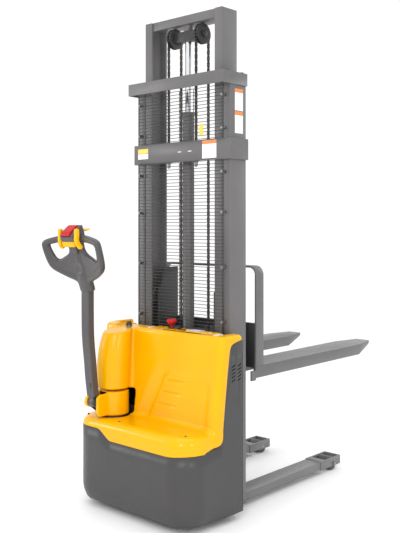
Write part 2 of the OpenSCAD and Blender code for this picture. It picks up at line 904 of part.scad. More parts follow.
// Vertical traction motor, up to the turret cover
module drive_motor() {
    z = base_z + base_t + 24.5;
    color(black) {
        translate([steer_x, steer_y, z]) cylinder(r = 66, h = deck_z + 60 - z);
        translate([steer_x, steer_y, deck_z + 60]) cylinder(r = 40, h = 37);
    }
}

// Two-lobed cover that turns with the tiller
module turret_cover() {
    z0 = deck_z + 3;
    lobe_r = 28;
    lobe_x = 37;
    lobe_half = 9;
    color(yellow) difference() {
        union() {
            translate([steer_x, steer_y, z0]) cylinder(r = hub_r, h = hub_top - z0);
            for (s = side) hull() {
                rod_x([steer_x + s * lobe_x, pivot_y, pivot_z], lobe_r, 2 * lobe_half);
                block([steer_x + s * lobe_x - lobe_half, steer_y - 40, z0 + 24],
                    [steer_x + s * lobe_x + lobe_half, steer_y, hub_top - 12]);
            }
        }
        translate([steer_x, steer_y, z0 - 1]) cylinder(r = 70, h = deck_z + 100 - z0);
        block([steer_x - 27, pivot_y - 60, z0 - 1], [steer_x + 27, steer_y - 62, hub_top + 1]);
        rod_x([steer_x, pivot_y, pivot_z], 12.2, 2 * pin_half + 0.4);
    }
}

// Black clevis on the motor that carries the tilt pin
module tiller_bracket() {
    color(black) difference() {
        union() {
            for (s = side) hull() {
                rod_x([steer_x + s * 21, pivot_y, pivot_z], 22, 8);
                block([steer_x + s * 21 - 4, steer_y - 76, deck_z + 8],
                    [steer_x + s * 21 + 4, steer_y - 68, pivot_z + 20]);
            }
            block([steer_x - 25, steer_y - 76, deck_z + 8], [steer_x + 25, steer_y - 66, pivot_z + 20]);
        }
        rod_x([steer_x, pivot_y, pivot_z], 12, 200);
    }
}

module pivot_pin() {
    color(steel) rod_x([steer_x, pivot_y, pivot_z], 12, 2 * pin_half);
}

module drive_hub() {
    color(steel) rod_ring([steer_x, steer_y, wheel_z], drive_d / 2 - 22, 16 + pin_gap, drive_w - 4);
}

module drive_tyre() {
    color(black) rod_ring([steer_x, steer_y, wheel_z], drive_d / 2, drive_d / 2 - 22, drive_w);
}

// Swivel fork of the balance caster with its stem and axle
module caster_fork() {
    z = caster_d / 2;
    y = caster_y + caster_trail;
    color(steel) {
        translate([caster_x, caster_y, z + 70]) cylinder(r = 16, h = 95);
        translate([caster_x, caster_y, z + 70 + 30]) cylinder(r = 50, h = 10);
        for (s = side) hull() {
            rod_x([caster_x + s * (caster_w / 2 + 5), y, z], 18, 5);
            block([caster_x + s * (caster_w / 2 + 5) - 2.5, caster_y - 40, z + 92],
                [caster_x + s * (caster_w / 2 + 5) + 2.5, caster_y + 40, z + 100]);
        }
        block([caster_x - caster_w / 2 - 7.5, caster_y - 40, z + 94],
            [caster_x + caster_w / 2 + 7.5, caster_y + 40, z + 101]);
        rod_x([caster_x, y, z], 8, caster_w + 24);
    }
}

module caster_wheel() {
    color([0.35, 0.30, 0.25])
        rod_ring([caster_x, caster_y + caster_trail, caster_d / 2], caster_d / 2, 8 + pin_gap, caster_w);
}

// ---------- tiller ----------

arm_half = 28;
neck_half = 16;
pin_half = 42;
socket = 12;
head_t = 42;
pod_half = 50;
button_half = 33;
lever_y = -34;
lever_z = 272;
lever_r = 5;
rocker_y = 30;
rocker_z = 294;
rocker_r = 8;

// Places its children in the leaning handle's own frame, whose origin is the throat
module head_frame() {
    translate([steer_x, head_y, head_z]) rotate([head_lean, 0, 0]) children();
}
head_y = pivot_y - arm_l * sin(arm_lean) - 14;
head_z = pivot_z + (arm_l - socket) * cos(arm_lean);

// Bowed bar of the arm, from the tilt pin up into the handle's socket
module arm_bar() {
    translate([0, pivot_y, pivot_z]) rotate([arm_lean, 0, 0])
        side_profile([[-22, 32], [14, 32], [7, 120], [2, 217], [-4, 310], [-4, 403], [3, arm_l],
            [-34, arm_l], [-41, 403], [-41, 310], [-35, 217], [-30, 120]],
            steer_x - arm_half, steer_x + arm_half);
}

// Bowed hollow-looking arm on a boss that turns on the tilt pin
module tiller_arm() {
    color(dark_grey) difference() {
        union() {
            arm_bar();
            rod_x([steer_x, pivot_y, pivot_z], 24, 2 * neck_half);
            translate([0, pivot_y, pivot_z]) rotate([arm_lean, 0, 0])
                block([steer_x - neck_half + 1, -16, 10], [steer_x + neck_half - 1, 10, 40]);
        }
        rod_x([steer_x, pivot_y, pivot_z], 12 + pin_gap, 100);
    }
}

// Handle's own plane: x across, y up the head; the sheet is centred on the plane
module head_plane(t) {
    translate([steer_x, head_y, head_z]) rotate([90 + head_lean, 0, 0])
        linear_extrude(t, center = true) children();
}

// Loop handle with two finger windows
module tiller_head() {
    w = handle_w / 2;
    color(dark_grey) difference() {
        head_plane(head_t) difference() {
            offset(10) offset(-10) polygon([for (s = [1, -1]) each handle_edge(s, w)]);
            for (s = side) offset(9) offset(-9)
                polygon([[s * 58, 198], [s * 96, 172], [s * (w - 60), 158], [s * (w - 38), 182],
                    [s * (w - 30), 236], [s * 64, 252]]);
        }
        arm_bar();
    }
}

// One half of the handle's outline, from the throat round to the top; s mirrors it
function handle_edge(s, w) = let (p = [[38, 0], [42, 30], [90, 62], [w - 40, 100], [w - 12, 144],
    [w - 2, 190], [w, 238], [w - 12, 264], [w - 66, 279], [60, 286]])
    s > 0 ? p : [for (i = [len(p) - 1:-1:0]) [-p[i][0], p[i][1]]];

// Control pod over the top of the handle
module control_pod() {
    color(dark_grey) head_frame() difference() {
        hull() {
            block([-43, -38, 240], [43, 26, 262]);
            block([-pod_half, -46, 272], [pod_half, 30, 298]);
            block([-pod_half, 10, 320], [pod_half, 28, 326]);
        }
        block([-60, -head_t / 2 - 0.2, 200], [60, head_t / 2 + 0.2, 289]);
        side_profile(button_side(0.5, 7), -button_half - 0.5, button_half + 0.5);
        rod_x([0, lever_y, lever_z], lever_r + pin_gap, 120);
        rod_x([0, rocker_y, rocker_z], rocker_r + roll_gap, 45);
        block([-22.5, rocker_y, rocker_z - 6], [22.5, rocker_y + 20, rocker_z + 10]);
    }
}

// Side view of the button, grown by g and with its underside dropped by d
function button_side(g, d) = [[-54 - 4 * g, 296 - d], [17 + 7 * g, 323 - d],
    [17 + 7 * g, 333 + 8 * g], [-40, 315 + 8 * g], [-54 - 4 * g, 306]];

// Red reversing button at the head's rear top
module belly_button() {
    color(red) head_frame() side_profile(button_side(0, 0), -button_half, button_half);
}

// Speed lever: a wing at each side of the pod, on one cross shaft
module butterfly() {
    wing = 20;
    x = pod_half + 1.5 + wing / 2;
    color(yellow) head_frame() {
        for (s = side) hull() {
            rod_x([s * x, lever_y - 2, lever_z], 10, wing, $fn = hull_fn);
            rod_x([s * x, lever_y, lever_z - 28], 7, wing, $fn = hull_fn);
            rod_x([s * x, lever_y + 4, lever_z + 40], 8, wing, $fn = hull_fn);
        }
        rod_x([0, lever_y, lever_z], lever_r, 2 * x);
    }
}

// Lift and lower rocker on the head's front
module lift_rocker() {
    color(yellow) head_frame() {
        rod_x([0, rocker_y, rocker_z], rocker_r, 44);
        block([-20, rocker_y, rocker_z - 2], [20, rocker_y + 17, rocker_z + 4]);
        block([-48, rocker_y + 12, rocker_z - 2], [48, rocker_y + 38, rocker_z + 4]);
    }
}

base_frame();
casing();
hood();
dash_panel();
battery_gauge();
estop_collar();
battery();
pump_motor();
oil_tank();
hydraulic_hose();
motor_controller();
steer_ring();
outer_uprights();
mast_upper_band();
mast_lower_band();
mast_foot();
guard_mesh();
guard_clips();
slide_pads();
cylinder_tube();
cylinder_gland();
mast_chain_anchors();
legs();
leg_ends();
load_axles();
gearbox();
drive_motor();
turret_cover();
tiller_bracket();
pivot_pin();
drive_hub();
drive_tyre();
caster_fork();
caster_wheel();
load_roller_left();
load_roller_right();
inner_uprights();
inner_crossbars();
crosshead();
lift_rod();
chain_pulleys();
mast_rollers();
carriage_frame();
load_guard();
fork_left();
fork_right();
carriage_rollers_top();
carriage_rollers_bottom();
chain_rear();
chain_front();
chain_wraps();
tiller_arm();
tiller_head();
control_pod();
belly_button();
butterfly();
lift_rocker();
estop_button();
key_lock();
key();
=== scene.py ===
import itertools
import json
import math

import bmesh
import bpy
import numpy as np
from mathutils import Matrix, Vector


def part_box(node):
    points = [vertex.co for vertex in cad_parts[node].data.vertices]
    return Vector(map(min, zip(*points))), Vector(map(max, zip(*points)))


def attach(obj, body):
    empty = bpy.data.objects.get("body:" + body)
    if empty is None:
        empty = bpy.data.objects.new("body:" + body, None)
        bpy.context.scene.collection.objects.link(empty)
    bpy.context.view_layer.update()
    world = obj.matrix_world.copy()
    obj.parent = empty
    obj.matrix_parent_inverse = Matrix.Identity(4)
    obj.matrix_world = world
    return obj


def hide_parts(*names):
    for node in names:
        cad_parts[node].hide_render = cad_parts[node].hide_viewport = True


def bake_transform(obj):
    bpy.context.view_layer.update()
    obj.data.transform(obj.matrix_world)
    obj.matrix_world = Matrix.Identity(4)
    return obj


# Looks of the walk-behind stacker, in metres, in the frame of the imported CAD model:
# +X to the machine's right, +Y along the forks, +Z up, origin on the floor.

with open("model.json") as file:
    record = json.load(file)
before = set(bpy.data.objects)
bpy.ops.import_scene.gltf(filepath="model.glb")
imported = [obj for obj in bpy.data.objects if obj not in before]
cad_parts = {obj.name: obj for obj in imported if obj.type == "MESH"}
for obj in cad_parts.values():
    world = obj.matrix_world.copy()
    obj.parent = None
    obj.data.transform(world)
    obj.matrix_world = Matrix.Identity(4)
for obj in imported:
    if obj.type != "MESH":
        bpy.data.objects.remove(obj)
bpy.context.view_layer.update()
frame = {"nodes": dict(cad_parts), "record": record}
NODES = frame["nodes"]

HULL_LOW, HULL_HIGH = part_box("casing")
HALF_W = HULL_HIGH.x
REAR_Y = HULL_LOW.y
HOOD_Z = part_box("dash_panel")[0].z
HOOD_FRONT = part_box("hood")[1].y
MAST_LOW, MAST_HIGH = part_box("outer_uprights")
BAND_LOW, BAND_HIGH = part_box("mast_lower_band")
TOP_BAND_LOW, TOP_BAND_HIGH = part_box("mast_upper_band")
STEER = Vector(((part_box("drive_tyre")[0].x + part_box("drive_tyre")[1].x) / 2,
                (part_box("drive_hub")[0].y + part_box("drive_hub")[1].y) / 2, 0))
PIN = (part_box("pivot_pin")[0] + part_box("pivot_pin")[1]) / 2
HUB_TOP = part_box("turret_cover")[1].z
DECK_Z = 0.45
CORNER_R = 0.13
LABEL_RAISE = 0.0006


# ---------- distance functions, for points in an array of shape (..., 3) ----------

def points(x, y, z):
    return np.stack([x, y, z], -1)


def cut_round(a, b, r):
    """Where both distances are inside, with an edge of radius r."""
    outside = np.hypot(np.maximum(a + r, 0), np.maximum(b + r, 0))
    return np.minimum(np.maximum(a, b), -r) + outside


def join_round(a, b, r):
    """Either one, with a fillet of radius r in the corner between them."""
    return -cut_round(-a, -b, r)


def cut(a, b):
    return np.maximum(a, b)


def join(a, b):
    return np.minimum(a, b)


def box_at(p, low, high, r):
    low, high = np.array(low, float), np.array(high, float)
    q = np.abs(p - (low + high) / 2) - (high - low) / 2 + r
    return np.linalg.norm(np.maximum(q, 0), axis=-1) + np.minimum(q.max(-1), 0) - r


def capsule(p, a, b, ra, rb=None):
    """Rod with round ends from a to b, whose radius goes from ra to rb."""
    a, b = np.array(a, float), np.array(b, float)
    t = np.clip((p - a) @ (b - a) / ((b - a) @ (b - a)), 0, 1)
    r = ra if rb is None else ra + (rb - ra) * t
    return np.linalg.norm(p - a - t[..., None] * (b - a), axis=-1) - r


def outline(x, y, corners):
    """Signed distance in a plane to a closed outline, negative inside."""
    best = np.full(x.shape, 1e9)
    inside = np.zeros(x.shape, bool)
    for (x0, y0), (x1, y1) in zip(corners, corners[1:] + corners[:1]):
        ex, ey = x1 - x0, y1 - y0
        t = np.clip(((x - x0) * ex + (y - y0) * ey) / (ex * ex + ey * ey), 0, 1)
        best = np.minimum(best, np.hypot(x - x0 - t * ex, y - y0 - t * ey))
        if y0 != y1:
            crosses = (y0 > y) != (y1 > y)
            inside ^= crosses & (x < x0 + (y - y0) * ex / ey)
    return np.where(inside, -best, best)


def round_plan(x, y, low, high, r):
    """Signed distance in a plane to a rectangle with round corners."""
    qx = np.abs(x - (low[0] + high[0]) / 2) - (high[0] - low[0]) / 2 + r
    qy = np.abs(y - (low[1] + high[1]) / 2) - (high[1] - low[1]) / 2 + r
    return np.hypot(np.maximum(qx, 0), np.maximum(qy, 0)) + np.minimum(np.maximum(qx, qy), 0) - r


def smoothstep(x, a, b):
    t = np.clip((x - a) / (b - a), 0, 1)
    return t * t * (3 - 2 * t)


def curve_through(stops, steps, closed=False):
    """Smooth line through the given stops."""
    count = len(stops)
    out = []
    for i in range(count if closed else count - 1):
        if closed:
            p = [np.array(stops[(i + k) % count], float) for k in (-1, 0, 1, 2)]
        else:
            p = [np.array(stops[min(max(i + k, 0), count - 1)], float) for k in (-1, 0, 1, 2)]
        for s in range(steps):
            t = s / steps
            out.append(0.5 * (2 * p[1] + (p[2] - p[0]) * t + (2 * p[0] - 5 * p[1] + 4 * p[2] - p[3]) * t * t
                              + (3 * p[1] - p[0] - 3 * p[2] + p[3]) * t ** 3))
    if not closed:
        out.append(np.array(stops[-1], float))
    return [tuple(q) for q in out]


# ---------- from a distance function to a mesh ----------

def gradient(f, p, h=2e-4):
    g = np.empty_like(p)
    for axis in range(3):
        step = np.zeros(3)
        step[axis] = h
        g[:, axis] = (f(p + step) - f(p - step)) / (2 * h)
    return g


def settle(f, p, rounds=4):
    """Moves points onto the surface where f is zero."""
    for _ in range(rounds):
        g = gradient(f, p)
        p = p - f(p)[:, None] * g / np.maximum((g * g).sum(1), 0.05)[:, None]
    return p


def surface_net(f, low, high, step):
    """Vertices and quads of the surface where f is zero, on a grid of the given step."""
    counts = [int(math.ceil((b - a) / step)) + 1 for a, b in zip(low, high)]
    axes = [a + step * np.arange(n) for a, n in zip(low, counts)]
    value = np.empty(counts)
    for i in range(counts[0]):
        value[i] = f(np.stack(np.meshgrid([axes[0][i]], axes[1], axes[2], indexing="ij"), -1))[0]
    cells = [n - 1 for n in counts]
    total = np.zeros(cells + [3])
    count = np.zeros(cells)
    rings = []
    for axis in range(3):
        near = [slice(None)] * 3
        far = [slice(None)] * 3
        near[axis], far[axis] = slice(0, -1), slice(1, None)
        a, b = value[tuple(near)], value[tuple(far)]
        u, w = (axis + 1) % 3, (axis + 2) % 3
        edge = np.argwhere((a < 0) != (b < 0))
        edge = edge[(edge[:, u] > 0) & (edge[:, w] > 0) & (edge[:, u] < cells[u]) & (edge[:, w] < cells[w])]
        va, vb = a[tuple(edge.T)], b[tuple(edge.T)]
        point = edge.astype(float)
        point[:, axis] += va / (va - vb)
        ring = []
        for du, dw in ((0, 0), (-1, 0), (-1, -1), (0, -1)):
            cell = edge.copy()
            cell[:, u] += du
            cell[:, w] += dw
            np.add.at(total, tuple(cell.T), point)
            np.add.at(count, tuple(cell.T), 1)
            ring.append(cell)
        rings.append((ring, va < 0))
    used = count > 0
    index = np.full(cells, -1)
    index[used] = np.arange(used.sum())
    verts = np.array(low) + step * total[used] / count[used][:, None]
    quads = []
    for ring, flip in rings:
        q = np.stack([index[tuple(c.T)] for c in ring], 1)
        quads.append(np.where(flip[:, None], q, q[:, ::-1]))
    return verts, np.concatenate(quads)


def keep_part(f, keep, verts, quads, step):
    """Only the faces where keep is positive, their edge moved onto the line where keep is zero."""
    inside = keep(verts) > -0.35 * step
    quads = quads[inside[quads].all(1)]
    used = np.unique(quads)
    index = np.full(len(verts), -1)
    index[used] = np.arange(len(used))
    verts, quads = verts[used], index[quads]
    sides = np.sort(np.stack([quads, np.roll(quads, -1, 1)], -1).reshape(-1, 2), 1)
    pairs, times = np.unique(sides, axis=0, return_counts=True)
    rim = np.unique(pairs[times == 1])
    for _ in range(8):
        verts[rim] = settle(keep, verts[rim], 1)
        verts[rim] = settle(f, verts[rim], 1)
    verts[rim] = settle(keep, verts[rim], 1)
    return verts, quads


# ---------- objects ----------

def add_mesh(name, verts, faces, smooth=True):
    mesh = bpy.data.meshes.new(name)
    mesh.from_pydata([tuple(v) for v in verts], [], [tuple(int(i) for i in face) for face in faces])
    mesh.validate()
    mesh.update()
    obj = bpy.data.objects.new(name, mesh)
    bpy.context.scene.collection.objects.link(obj)
    if smooth:
        mesh.polygons.foreach_set("use_smooth", [True] * len(mesh.polygons))
    return obj


def dress(obj, material, body=None, replaces=()):
    """Gives a new piece its material, the body it rides on and the CAD nodes it stands for."""
    obj.data.materials.append(material)
    if body:
        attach(obj, body)
    if replaces:
        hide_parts(*replaces)
    return obj


def solid_from(name, f, low, high, step):
    """Closed smooth solid of a distance function."""
    verts, quads = surface_net(f, low, high, step)
    return add_mesh(name, settle(f, verts), quads)


def shell_from(name, f, keep, low, high, step, wall):
    """Moulded sheet on the outer surface of f, where keep is positive."""
    verts, quads = surface_net(f, low, high, step)
    verts, quads = keep_part(f, keep, settle(f, verts), quads, step)
    obj = add_mesh(name, verts, quads)
    solid = obj.modifiers.new("wall", "SOLIDIFY")
    solid.thickness = wall
    solid.offset = -1
    solid.use_even_offset = True
    return obj


def soften(obj, width, segments=2, angle=35):
    """Rounds an object's sharp edges and shades the rest smoothly."""
    weld = obj.modifiers.new("weld", "WELD")
    weld.merge_threshold = 1e-5
    bevel = obj.modifiers.new("edge", "BEVEL")
    bevel.width = width
    bevel.segments = segments
    bevel.limit_method = "ANGLE"
    bevel.angle_limit = math.radians(angle)
    bevel.harden_normals = True
    bevel.use_clamp_overlap = True
    obj.data.polygons.foreach_set("use_smooth", [True] * len(obj.data.polygons))
    return obj


def tube_ring(centre, u, w, r, sides):
    return [centre + r * (math.cos(a) * u + math.sin(a) * w)
            for a in (2 * math.pi * i / sides for i in range(sides))]


class Builder:
    """Collects simple closed shapes into one mesh."""

    def __init__(self):
        self.verts = []
        self.faces = []

    def add(self, verts, faces):
        base = len(self.verts)
        self.verts += [Vector(v) for v in verts]
        self.faces += [[base + i for i in face] for face in faces]

    def rings(self, rings):
        """Skin over a row of equal rings, closed at both ends."""
        n = len(rings[0])
        verts = [v for ring in rings for v in ring]
        faces = [[k * n + i, k * n + (i + 1) % n, (k + 1) * n + (i + 1) % n, (k + 1) * n + i]
                 for k in range(len(rings) - 1) for i in range(n)]
        faces.append(list(range(n))[::-1])
        faces.append([(len(rings) - 1) * n + i for i in range(n)])
        self.add(verts, faces)

    def lathe(self, base, axis, profile, sides=32):
        """Solid of revolution about axis from base; profile is a list of (radius, distance along)."""
        axis = Vector(axis).normalized()
        u = axis.orthogonal().normalized()
        w = axis.cross(u)
        self.rings([tube_ring(Vector(base) + axis * d, u, w, max(r, 1e-5), sides) for r, d in profile])

    def rod(self, a, b, r, sides=12, edge=0.0):
        """Cylinder from a to b, its end edges broken by edge."""
        a, b = Vector(a), Vector(b)
        length = (b - a).length
        if edge:
            profile = [(r - edge, 0), (r, edge), (r, length - edge), (r - edge, length)]
        else:
            profile = [(r, 0), (r, length)]
        self.lathe(a, b - a, profile, sides)

    def block(self, low, high):
        (x0, y0, z0), (x1, y1, z1) = low, high
        self.add([(x0, y0, z0), (x1, y0, z0), (x1, y1, z0), (x0, y1, z0),
                  (x0, y0, z1), (x1, y0, z1), (x1, y1, z1), (x0, y1, z1)],
                 [(3, 2, 1, 0), (4, 5, 6, 7), (0, 1, 5, 4), (1, 2, 6, 5), (2, 3, 7, 6), (3, 0, 4, 7)])

    def prism(self, corners, place, t):
        """Flat outline of the given thickness; place turns (u, v, depth) into a point."""
        self.rings([[place(u, v, d) for u, v in corners] for d in (-t / 2, t / 2)])

    def make(self, name, smooth=True):
        obj = add_mesh(name, self.verts, self.faces, smooth)
        bm = bmesh.new()
        bm.from_mesh(obj.data)
        bmesh.ops.recalc_face_normals(bm, faces=bm.faces)
        bm.to_mesh(obj.data)
        bm.free()
        return obj


# ---------- materials ----------

class Nodes:
    """Small helper to wire a material's node tree."""

    def __init__(self, name):
        self.material = bpy.data.materials.new(name)
        self.material.use_nodes = True
        self.tree = self.material.node_tree
        self.shader = next(n for n in self.tree.nodes if n.type == "BSDF_PRINCIPLED")
        coordinates = self.tree.nodes.new("ShaderNodeTexCoord")
        self.place = coordinates.outputs["Object"]

    def node(self, kind, inputs=(), **settings):
        made = self.tree.nodes.new(kind)
        for key, value in settings.items():
            setattr(made, key, value)
        for key, value in dict(inputs).items():
            if isinstance(value, bpy.types.NodeSocket):
                self.tree.links.new(value, made.inputs[key])
            else:
                made.inputs[key].default_value = value
        return made

    def noise(self, scale, detail=3.0, roughness=0.55, place=None):
        made = self.node("ShaderNodeTexNoise", {"Vector": place or self.place, "Scale": scale,
                                                "Detail": detail, "Roughness": roughness})
        return made.outputs[0]

    def stretch(self, value, low, high, to_low, to_high):
        made = self.node("ShaderNodeMapRange", {0: value, 1: low, 2: high, 3: to_low, 4: to_high})
        return made.outputs[0]

    def mix(self, share, a, b):
        made = self.node("ShaderNodeMix", data_type="RGBA")
        for slot, value in ((0, share), (6, a), (7, b)):
            if isinstance(value, bpy.types.NodeSocket):
                self.tree.links.new(value, made.inputs[slot])
            else:
                made.inputs[slot].default_value = value
        return made.outputs[2]

    def maths(self, operation, a, b):
        return self.node("ShaderNodeMath", {0: a, 1: b}, operation=operation).outputs[0]

    def bump(self, height, distance, strength=1.0, normal=None):
        inputs = {"Height": height, "Distance": distance, "Strength": strength}
        if normal is not None:
            inputs["Normal"] = normal
        return self.node("ShaderNodeBump", inputs).outputs[0]

    def set(self, **inputs):
        for key, value in inputs.items():
            socket = self.shader.inputs[key.replace("_", " ")]
            if isinstance(value, bpy.types.NodeSocket):
                self.tree.links.new(value, socket)
            else:
                socket.default_value = value
        return self.material


def shade(colour, factor):
    return tuple(min(1.0, c * factor) for c in colour) + (1.0,)


def mottled(n, scale, detail, colour, mottle):
    """Colour that drifts a little lighter and darker over the piece."""
    share = n.stretch(n.noise(scale, detail), 0.3, 0.7, 0, 1)
    return n.mix(share, shade(colour, 1 - mottle), shade(colour, 1 + mottle))


def paint(name, colour, rough, grain=900.0, depth=0.00006, mottle=0.10, edge_wear_and_highlight=0.35, metallic=0.0, coat=0.0):
    """Coated metal: faint orange peel, slow colour drift, dull patches, and edges painted lighter, partly as
    wear and partly as a painted highlight.
    """
    n = Nodes(name)
    fine = n.noise(60, 3)
    base = mottled(n, 3.5, 4, colour, mottle)
    if edge_wear_and_highlight:
        # edges are painted lighter: partly paint worn thin, partly a painted highlight along each edge
        edge = n.node("ShaderNodeBevel", {"Radius": 0.0018}, samples=4)
        flat = n.node("ShaderNodeNewGeometry")
        facing = n.node("ShaderNodeVectorMath", {0: edge.outputs[0], 1: flat.outputs["Normal"]},
                        operation="DOT_PRODUCT").outputs["Value"]
        patches = n.stretch(fine, 0.35, 0.6, 0, 1)
        wear_and_highlight_mask = n.maths("MULTIPLY", n.stretch(facing, 0.985, 0.86, 0, edge_wear_and_highlight), patches)
        base = n.mix(wear_and_highlight_mask, base, shade(colour, 1.9))
    peel = n.bump(n.noise(grain, 2), depth)
    return n.set(Base_Color=base, Roughness=n.stretch(fine, 0.3, 0.7, rough - 0.05, rough + 0.07),
                 Metallic=metallic, Normal=peel, Coat_Weight=coat, Coat_Roughness=0.12)


def plastic(name, colour, rough, grain=1500.0, depth=0.00004, mottle=0.05, coat=0.0, shine=0.5):
    """Moulded plastic: even colour with a fine tooled grain and slight handling marks."""
    n = Nodes(name)
    base = mottled(n, 5, 3, colour, mottle)
    smudge = n.stretch(n.noise(18, 5), 0.35, 0.75, rough - 0.03, rough + 0.08)
    return n.set(Base_Color=base, Roughness=smudge, Normal=n.bump(n.noise(grain, 2), depth),
                 Specular_IOR_Level=shine, Coat_Weight=coat, Coat_Roughness=0.06)


def metal(name, colour, rough, stretch=(1, 1, 1), grain=400.0, depth=0.00003, mottle=0.12):
    """Bare or plated metal with fine marks drawn out along one direction."""
    n = Nodes(name)
    drawn = n.node("ShaderNodeMapping", {"Vector": n.place, "Scale": stretch}).outputs[0]
    marks = n.noise(grain, 3, place=drawn)
    base = mottled(n, 25, 3, colour, mottle)
    return n.set(Base_Color=base, Metallic=1.0, Normal=n.bump(marks, depth),
                 Roughness=n.stretch(marks, 0.3, 0.7, rough - 0.06, rough + 0.1))


def rubber(name, colour, rough=0.7):
    """Cast rubber or polyurethane with scuffs."""
    n = Nodes(name)
    scuffs = n.stretch(n.noise(45, 5), 0.4, 0.75, 0, 1)
    base = n.mix(scuffs, shade(colour, 1), shade(colour, 1.35))
    return n.set(Base_Color=base, Roughness=n.stretch(scuffs, 0, 1, rough - 0.08, rough + 0.1),
                 Normal=n.bump(n.noise(600, 3), 0.00012))


M = {
    "body_grey": paint("casing_powder_coat", (0.042, 0.040, 0.041), 0.38),
    "leg_grey": paint("leg_powder_coat", (0.150, 0.147, 0.147), 0.38),
    "mast_grey": paint("mast_powder_coat", (0.120, 0.116, 0.116), 0.38),
    "black_paint": paint("black_paint", (0.028, 0.028, 0.030), 0.42, edge_wear_and_highlight=0.2),
    "wire": paint("wire_black", (0.040, 0.038, 0.038), 0.45, edge_wear_and_highlight=0),
    "hood_yellow": plastic("hood_yellow", (0.82, 0.405, 0.0), 0.22, grain=700, depth=0.00001,
                           mottle=0.03, coat=0.12, shine=0.2),
    "lever_yellow": plastic("lever_yellow", (0.86, 0.43, 0.0), 0.40, shine=0.25),
    "handle_grey": plastic("handle_grey", (0.062, 0.058, 0.060), 0.36, grain=1100, depth=0.00006,
                           mottle=0.08),
    "black_plastic": plastic("black_plastic", (0.020, 0.020, 0.022), 0.42),
    "red_plastic": plastic("red_plastic", (0.45, 0.006, 0.010), 0.34, mottle=0.04, shine=0.25),
    "display": plastic("display", (0.55, 0.57, 0.58), 0.22, mottle=0.03),
    "label": plastic("label_white", (0.80, 0.79, 0.77), 0.35, mottle=0.03),
    "label_orange": plastic("label_orange", (0.85, 0.22, 0.03), 0.35, mottle=0.03),
    "label_yellow": plastic("label_yellow", (0.85, 0.55, 0.04), 0.35, mottle=0.03),
    "nylon": plastic("filled_nylon", (0.075, 0.073, 0.07), 0.45, mottle=0.08),
    "polyurethane": rubber("polyurethane", (0.32, 0.19, 0.08), 0.5),
    "drive_tyre": rubber("drive_tyre", (0.03, 0.03, 0.03)),
    "hose": rubber("hose", (0.02, 0.02, 0.02), 0.55),
    "zinc": metal("zinc_plate", (0.30, 0.30, 0.31), 0.40),
    "bare_steel": metal("bare_steel", (0.42, 0.42, 0.43), 0.34, stretch=(1, 6, 6)),
    "cast": paint("cast_iron", (0.030, 0.030, 0.032), 0.6, grain=350, depth=0.0002, mottle=0.2, edge_wear_and_highlight=0.2),
    "chrome": metal("chrome", (0.80, 0.81, 0.83), 0.10, grain=900, depth=0.00001, mottle=0.03),
    "chain": metal("chain", (0.085, 0.080, 0.075), 0.38, grain=500, depth=0.00004, mottle=0.3),
}


# ---------- CAD nodes that stay: their own finish and rounded edges ----------

EDGE = {"outer_uprights": 0.0025, "inner_uprights": 0.0025, "fork_left": 0.003, "fork_right": 0.003,
        "load_guard": 0.002, "legs": 0.003, "leg_ends": 0.003, "mast_upper_band": 0.0015,
        "mast_lower_band": 0.0015, "guard_clips": 0.0006, "key": 0.0006, "battery_gauge": 0.0015}
LOOK = {"legs": "leg_grey", "leg_ends": "leg_grey"}
for part in frame["record"]["subparts"]:
    cad = NODES[part["node"]]
    cad.data.materials.clear()
    cad.data.materials.append(M[LOOK.get(part["node"], part["material_slot"])])
    soften(cad, EDGE.get(part["node"], 0.001))


# ---------- hood ----------

WALL_FOOT_Y = REAR_Y + 0.193
WALL_SLOPE = 0.13
EAR_Y = MAST_LOW.y + 0.006
EAR_X = BAND_HIGH.x + 0.005
NOSE_FLOOR = HUB_TOP + 0.010
RECESS_X = STEER.x + 0.094
LOUVRE_Z = (0.527, 0.588, 0.648)
LOUVRE_HALF = 0.005
TRAY_DEPTH = 0.006


def seam_rear(x):
    """Height of the seam along the rear face: high at the left, low at the right."""
    return 0.360 + 0.049 * smoothstep(-x, 0.105, 0.212) + 0.008 * smoothstep(x, 0.25, 0.40)


def seam_side(z0):
    """Seam along a side as points (y, z), from the rear corner up beside the wall to the front."""
    y = REAR_Y
    return curve_through([(y + 0.129, z0 + 0.004), (y + 0.180, max(z0, 0.384)), (y + 0.232, max(z0, 0.394)),
                          (y + 0.250, 0.43), (y + 0.260, 0.503), (y + 0.274, 0.618), (y + 0.293, 0.757),
                          (y + 0.306, 0.828), (y + 0.330, 0.852), (y + 0.398, 0.866)], 6)


SEAM = {1: seam_side(0.368), -1: seam_side(0.409)}


def above_seam(p):
    x, y, z = p[..., 0], p[..., 1], p[..., 2]
    keep = z - seam_rear(x)
    side = np.ones(x.shape)
    for s in (-1, 1):
        line = SEAM[s]
        back, front = line[0][0] - 0.3, 0.2
        closed = [(back, line[0][1])] + line + [(front, line[-1][1]), (front, 0.0), (back, 0.0)]
        at = (x * s > HALF_W - CORNER_R) & (y > REAR_Y + CORNER_R)
        side = np.where(at, outline(y, z, closed), side)
    return np.where(y <= REAR_Y + CORNER_R, keep, side)


def wall_y(z):
    return WALL_FOOT_Y + (z - 0.42) * WALL_SLOPE


